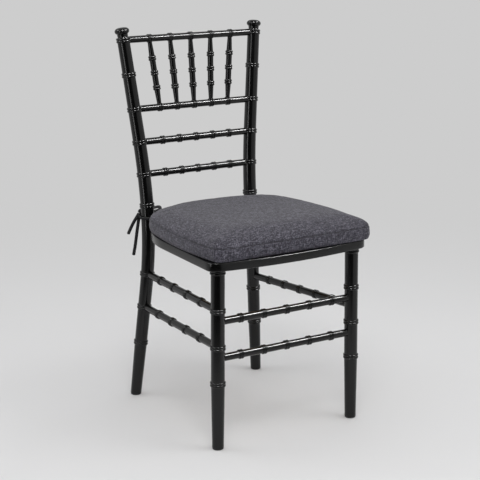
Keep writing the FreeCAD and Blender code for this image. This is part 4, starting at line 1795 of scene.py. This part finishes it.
@dataclass(frozen=True)
class Lamp:
    """Soft box that points at the chair, in metres and watts.

    One that gleams shows in glossy surfaces only, as a far and narrow light would: it draws the
    bright streaks on the lacquer and leaves the floor and the cloth alone.
    """

    name: str
    place: Triple
    size: Point
    power: float
    gleams: bool = False
    aim: Triple = (0.0, 0.0, 0.45)

    def build(self) -> None:
        """Add the lamp to the scene."""
        data = bpy.data.lights.new(self.name, "AREA")
        data.shape = "RECTANGLE"
        data.size = self.size[0]
        data.size_y = self.size[1]
        data.energy = self.power
        lamp = linked(self.name, data)
        lamp.location = self.place
        lamp.visible_camera = False
        lamp.visible_diffuse = not self.gleams
        lamp.rotation_mode = "QUATERNION"
        lamp.rotation_quaternion = (Vector(self.aim) - Vector(self.place)).to_track_quat("-Z", "Y")


@dataclass(frozen=True)
class Studio:
    """Camera, pale seamless ground and soft lamps."""

    # Focal length and width of the photograph in pixels, and the sensor's width.
    focal_px: float = 1388.8
    frame_px: float = 480.0
    sensor: float = 36.0
    # Degrees above the chair and from its front, and distance from the point that it looks at.
    elevation: float = 14.30
    azimuth: float = -31.92
    distance: float = 3247.8
    target: Triple = (-43.7, -75.8, 443.4)
    backdrop_colour: str = "#cdcdcd"
    floor_colours: tuple[str, str] = ("#dbdbdb", "#dfdfdf")
    floor_half: float = 20000.0
    floor_mottle_per_metre: float = 1.5
    # Metres from the chair between which the floor runs into the backdrop.
    fade_reach: Point = (0.35, 2.4)
    room_colour: str = "#f4f4f5"
    fill_strength: float = 0.87
    # The dark part of the room: degrees from the camera's side, degrees to its soft outer edge and
    # to its full dark, metres from the chair between which it starts on the floor, and its depth.
    dark_turn: float = -12.0
    dark_angles: Point = (54.0, 36.0)
    dark_reach: Point = (0.6, 1.35)
    darkness: float = 0.97
    lamps: tuple[Lamp, ...] = (
        Lamp("right_soft", (1.3, -1.3, 2.4), (1.2, 0.5), 11.0),
        Lamp("front_soft", (-0.9, -1.6, 2.3), (1.0, 0.5), 15.0),
        Lamp("left_soft", (-1.35, 0.95, 2.2), (0.9, 0.5), 4.0),
        Lamp("right_gleam", (1.3, -1.05, 2.4), (1.0, 0.2), 66.0, gleams=True),
        Lamp("front_gleam", (-0.6, -1.0, 2.3), (0.6, 0.2), 36.0, gleams=True),
        Lamp("left_gleam", (-1.35, 0.95, 2.2), (0.6, 0.2), 40.0, gleams=True),
        Lamp("left_panel", (-1.55, -0.35, 0.95), (0.3, 1.7), 8.0, gleams=True))

    def camera(self) -> None:
        """Place the camera where the photograph was taken from."""
        data = bpy.data.cameras.new("camera")
        data.sensor_width = self.sensor
        data.lens = self.sensor * self.focal_px / self.frame_px
        rise, turn = math.radians(self.elevation), math.radians(self.azimuth)
        back = Vector((math.sin(turn) * math.cos(rise), -math.cos(turn) * math.cos(rise), math.sin(rise)))
        camera = linked("camera", data)
        camera.location = (Vector(self.target) + back * self.distance) * MM
        camera.rotation_mode = "QUATERNION"
        camera.rotation_quaternion = (-back).to_track_quat("-Z", "Y")
        bpy.context.scene.camera = camera

    def room_light(self, sheet: NodeSheet, way: Socket, reach: Socket | None = None) -> Socket:
        """Strength of the pale surroundings: even, but dark in front of the chair for a glossy ray.

        Args:
            sheet: The node tree that it is added to.
            way: Direction, or place seen from the chair, that is asked about.
            reach: Distance from the chair, where the dark part has to start with one.

        Returns:
            The strength, from 0 to 1.
        """
        flat = sheet.add("ShaderNodeVectorMath", {0: way, 1: (1.0, 1.0, 0.0)}, operation="MULTIPLY")
        level = sheet.add("ShaderNodeVectorMath", {0: flat.outputs["Vector"]}, operation="NORMALIZE")
        turn = math.radians(self.azimuth + self.dark_turn)
        ahead = (math.sin(turn), -math.cos(turn), 0.0)
        facing = sheet.add("ShaderNodeVectorMath", {0: level.outputs["Vector"], 1: ahead},
                           operation="DOT_PRODUCT")
        soft, full = (math.cos(math.radians(angle)) for angle in self.dark_angles)
        dark = sheet.add("ShaderNodeMapRange", {"Value": facing.outputs["Value"], "From Min": soft,
                                                "From Max": full, "To Max": self.darkness},
                         interpolation_type="SMOOTHSTEP").outputs["Result"]
        if reach:
            starts = sheet.add("ShaderNodeMapRange", {"Value": reach, "From Min": self.dark_reach[0],
                                                      "From Max": self.dark_reach[1]},
                               interpolation_type="SMOOTHSTEP")
            dark = sheet.add("ShaderNodeMath", {0: dark, 1: starts.outputs["Result"]},
                             operation="MULTIPLY").outputs["Value"]
        glossy = sheet.add("ShaderNodeLightPath", {}).outputs["Is Glossy Ray"]
        hidden = sheet.add("ShaderNodeMath", {0: dark, 1: glossy}, operation="MULTIPLY")
        return sheet.add("ShaderNodeMath", {0: 1.0, 1: hidden.outputs["Value"]},
                         operation="SUBTRACT").outputs["Value"]

    def shown(self, sheet: NodeSheet) -> Socket:
        """Whether a ray sees the backdrop's colour: a camera, glossy or transmission ray.

        Args:
            sheet: The node tree that it is added to.

        Returns:
            1 for such a ray, otherwise 0.
        """
        path = sheet.add("ShaderNodeLightPath", {})
        mirrored = sheet.add("ShaderNodeMath", {0: path.outputs["Is Camera Ray"],
                                                1: path.outputs["Is Glossy Ray"]}, operation="MAXIMUM")
        return sheet.add("ShaderNodeMath", {0: mirrored.outputs["Value"],
                                            1: path.outputs["Is Transmission Ray"]},
                         operation="MAXIMUM").outputs["Value"]

    def paper(self) -> bpy.types.Material:
        """Build the floor's material: matt pale paper that runs into the backdrop further out.

        Returns:
            The material.
        """
        sheet = NodeSheet("pale_paper_floor")
        place = sheet.add("ShaderNodeTexCoord", {}).outputs["Object"]
        reach = sheet.add("ShaderNodeVectorMath", {0: place}, operation="LENGTH").outputs["Value"]
        strength = self.room_light(sheet, place, reach)
        far = sheet.add("ShaderNodeMapRange", {"Value": reach, "From Min": self.fade_reach[0],
                                               "From Max": self.fade_reach[1]},
                        interpolation_type="SMOOTHSTEP")
        fade = sheet.add("ShaderNodeMath", {0: far.outputs["Result"], 1: self.shown(sheet)},
                         operation="MULTIPLY")
        mottle = sheet.add("ShaderNodeTexNoise", {"Vector": place, "Scale": self.floor_mottle_per_metre})
        first, second = self.floor_colours
        colour = sheet.add("ShaderNodeMix", {"Factor": mottle.outputs["Fac"], "A": linear(first),
                                             "B": linear(second)}, data_type="RGBA")
        lit = sheet.add("ShaderNodeVectorMath", {0: colour.outputs["Result"], "Scale": strength},
                        operation="SCALE")
        matt = sheet.add("ShaderNodeBsdfDiffuse", {"Color": lit.outputs["Vector"]})
        backdrop = sheet.add("ShaderNodeEmission", {"Color": linear(self.backdrop_colour),
                                                    "Strength": strength})
        shader = sheet.add("ShaderNodeMixShader", {0: fade.outputs["Value"], 1: matt.outputs["BSDF"],
                                                   2: backdrop.outputs["Emission"]})
        return sheet.finish(shader.outputs["Shader"])

    def ground(self) -> None:
        """Lay the pale floor, which keeps the chair's shadow."""
        corners = [Vector((x, y, 0)) * self.floor_half for x, y in ((-1, -1), (1, -1), (1, 1), (-1, 1))]
        floor = mesh_object("studio_floor", corners, [(0, 1, 2, 3)])
        floor.data.materials.append(self.paper())

    def sky(self) -> None:
        """Show a pale backdrop all round, and light the chair evenly from everywhere."""
        sheet = NodeSheet("studio_room", world=True)
        way = sheet.add("ShaderNodeTexCoord", {}).outputs["Generated"]
        fill = sheet.add("ShaderNodeBackground", {"Color": linear(self.room_colour),
                                                  "Strength": self.fill_strength})
        backdrop = sheet.add("ShaderNodeBackground", {"Color": linear(self.backdrop_colour),
                                                      "Strength": self.room_light(sheet, way)})
        shader = sheet.add("ShaderNodeMixShader", {0: self.shown(sheet), 1: fill.outputs["Background"],
                                                   2: backdrop.outputs["Background"]})
        bpy.context.scene.world = sheet.finish(shader.outputs["Shader"])

    def build(self) -> None:
        """Set up the camera, ground and light."""
        self.camera()
        self.ground()
        self.sky()
        for lamp in self.lamps:
            lamp.build()
        bpy.context.scene.view_settings.view_transform = "Standard"


def main() -> None:
    """Build the studio and every part of the chair."""
    logging.basicConfig(level=logging.INFO, format="%(message)s")
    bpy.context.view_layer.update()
    Studio().build()
    lacquer = BlackLacquer().material()
    Tie().build(TwistedCord().material())
    RearPosts().build(lacquer)
    FrontLegs().build(lacquer)
    Stretchers().build(lacquer)
    Back().build(lacquer)
    beech = SmallFinish.FLUTED_BEECH.value.material()
    zinc = SmallFinish.ZINC_PLATED_STEEL.value.material()
    SeatFrame().build(lacquer, beech, zinc)
    Cushion().build(WovenPolyester().material())
    carried = {"seat_panel": SmallFinish.BIRCH_PLYWOOD, "foot_glides": SmallFinish.MOULDED_NYLON}
    for name, finish in carried.items():
        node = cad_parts[name]
        node.data.materials.clear()
        node.data.materials.append(finish.value.material())
        log.info("%s is the packed node, with its finish", name)


if __name__ == "__main__":
    main()
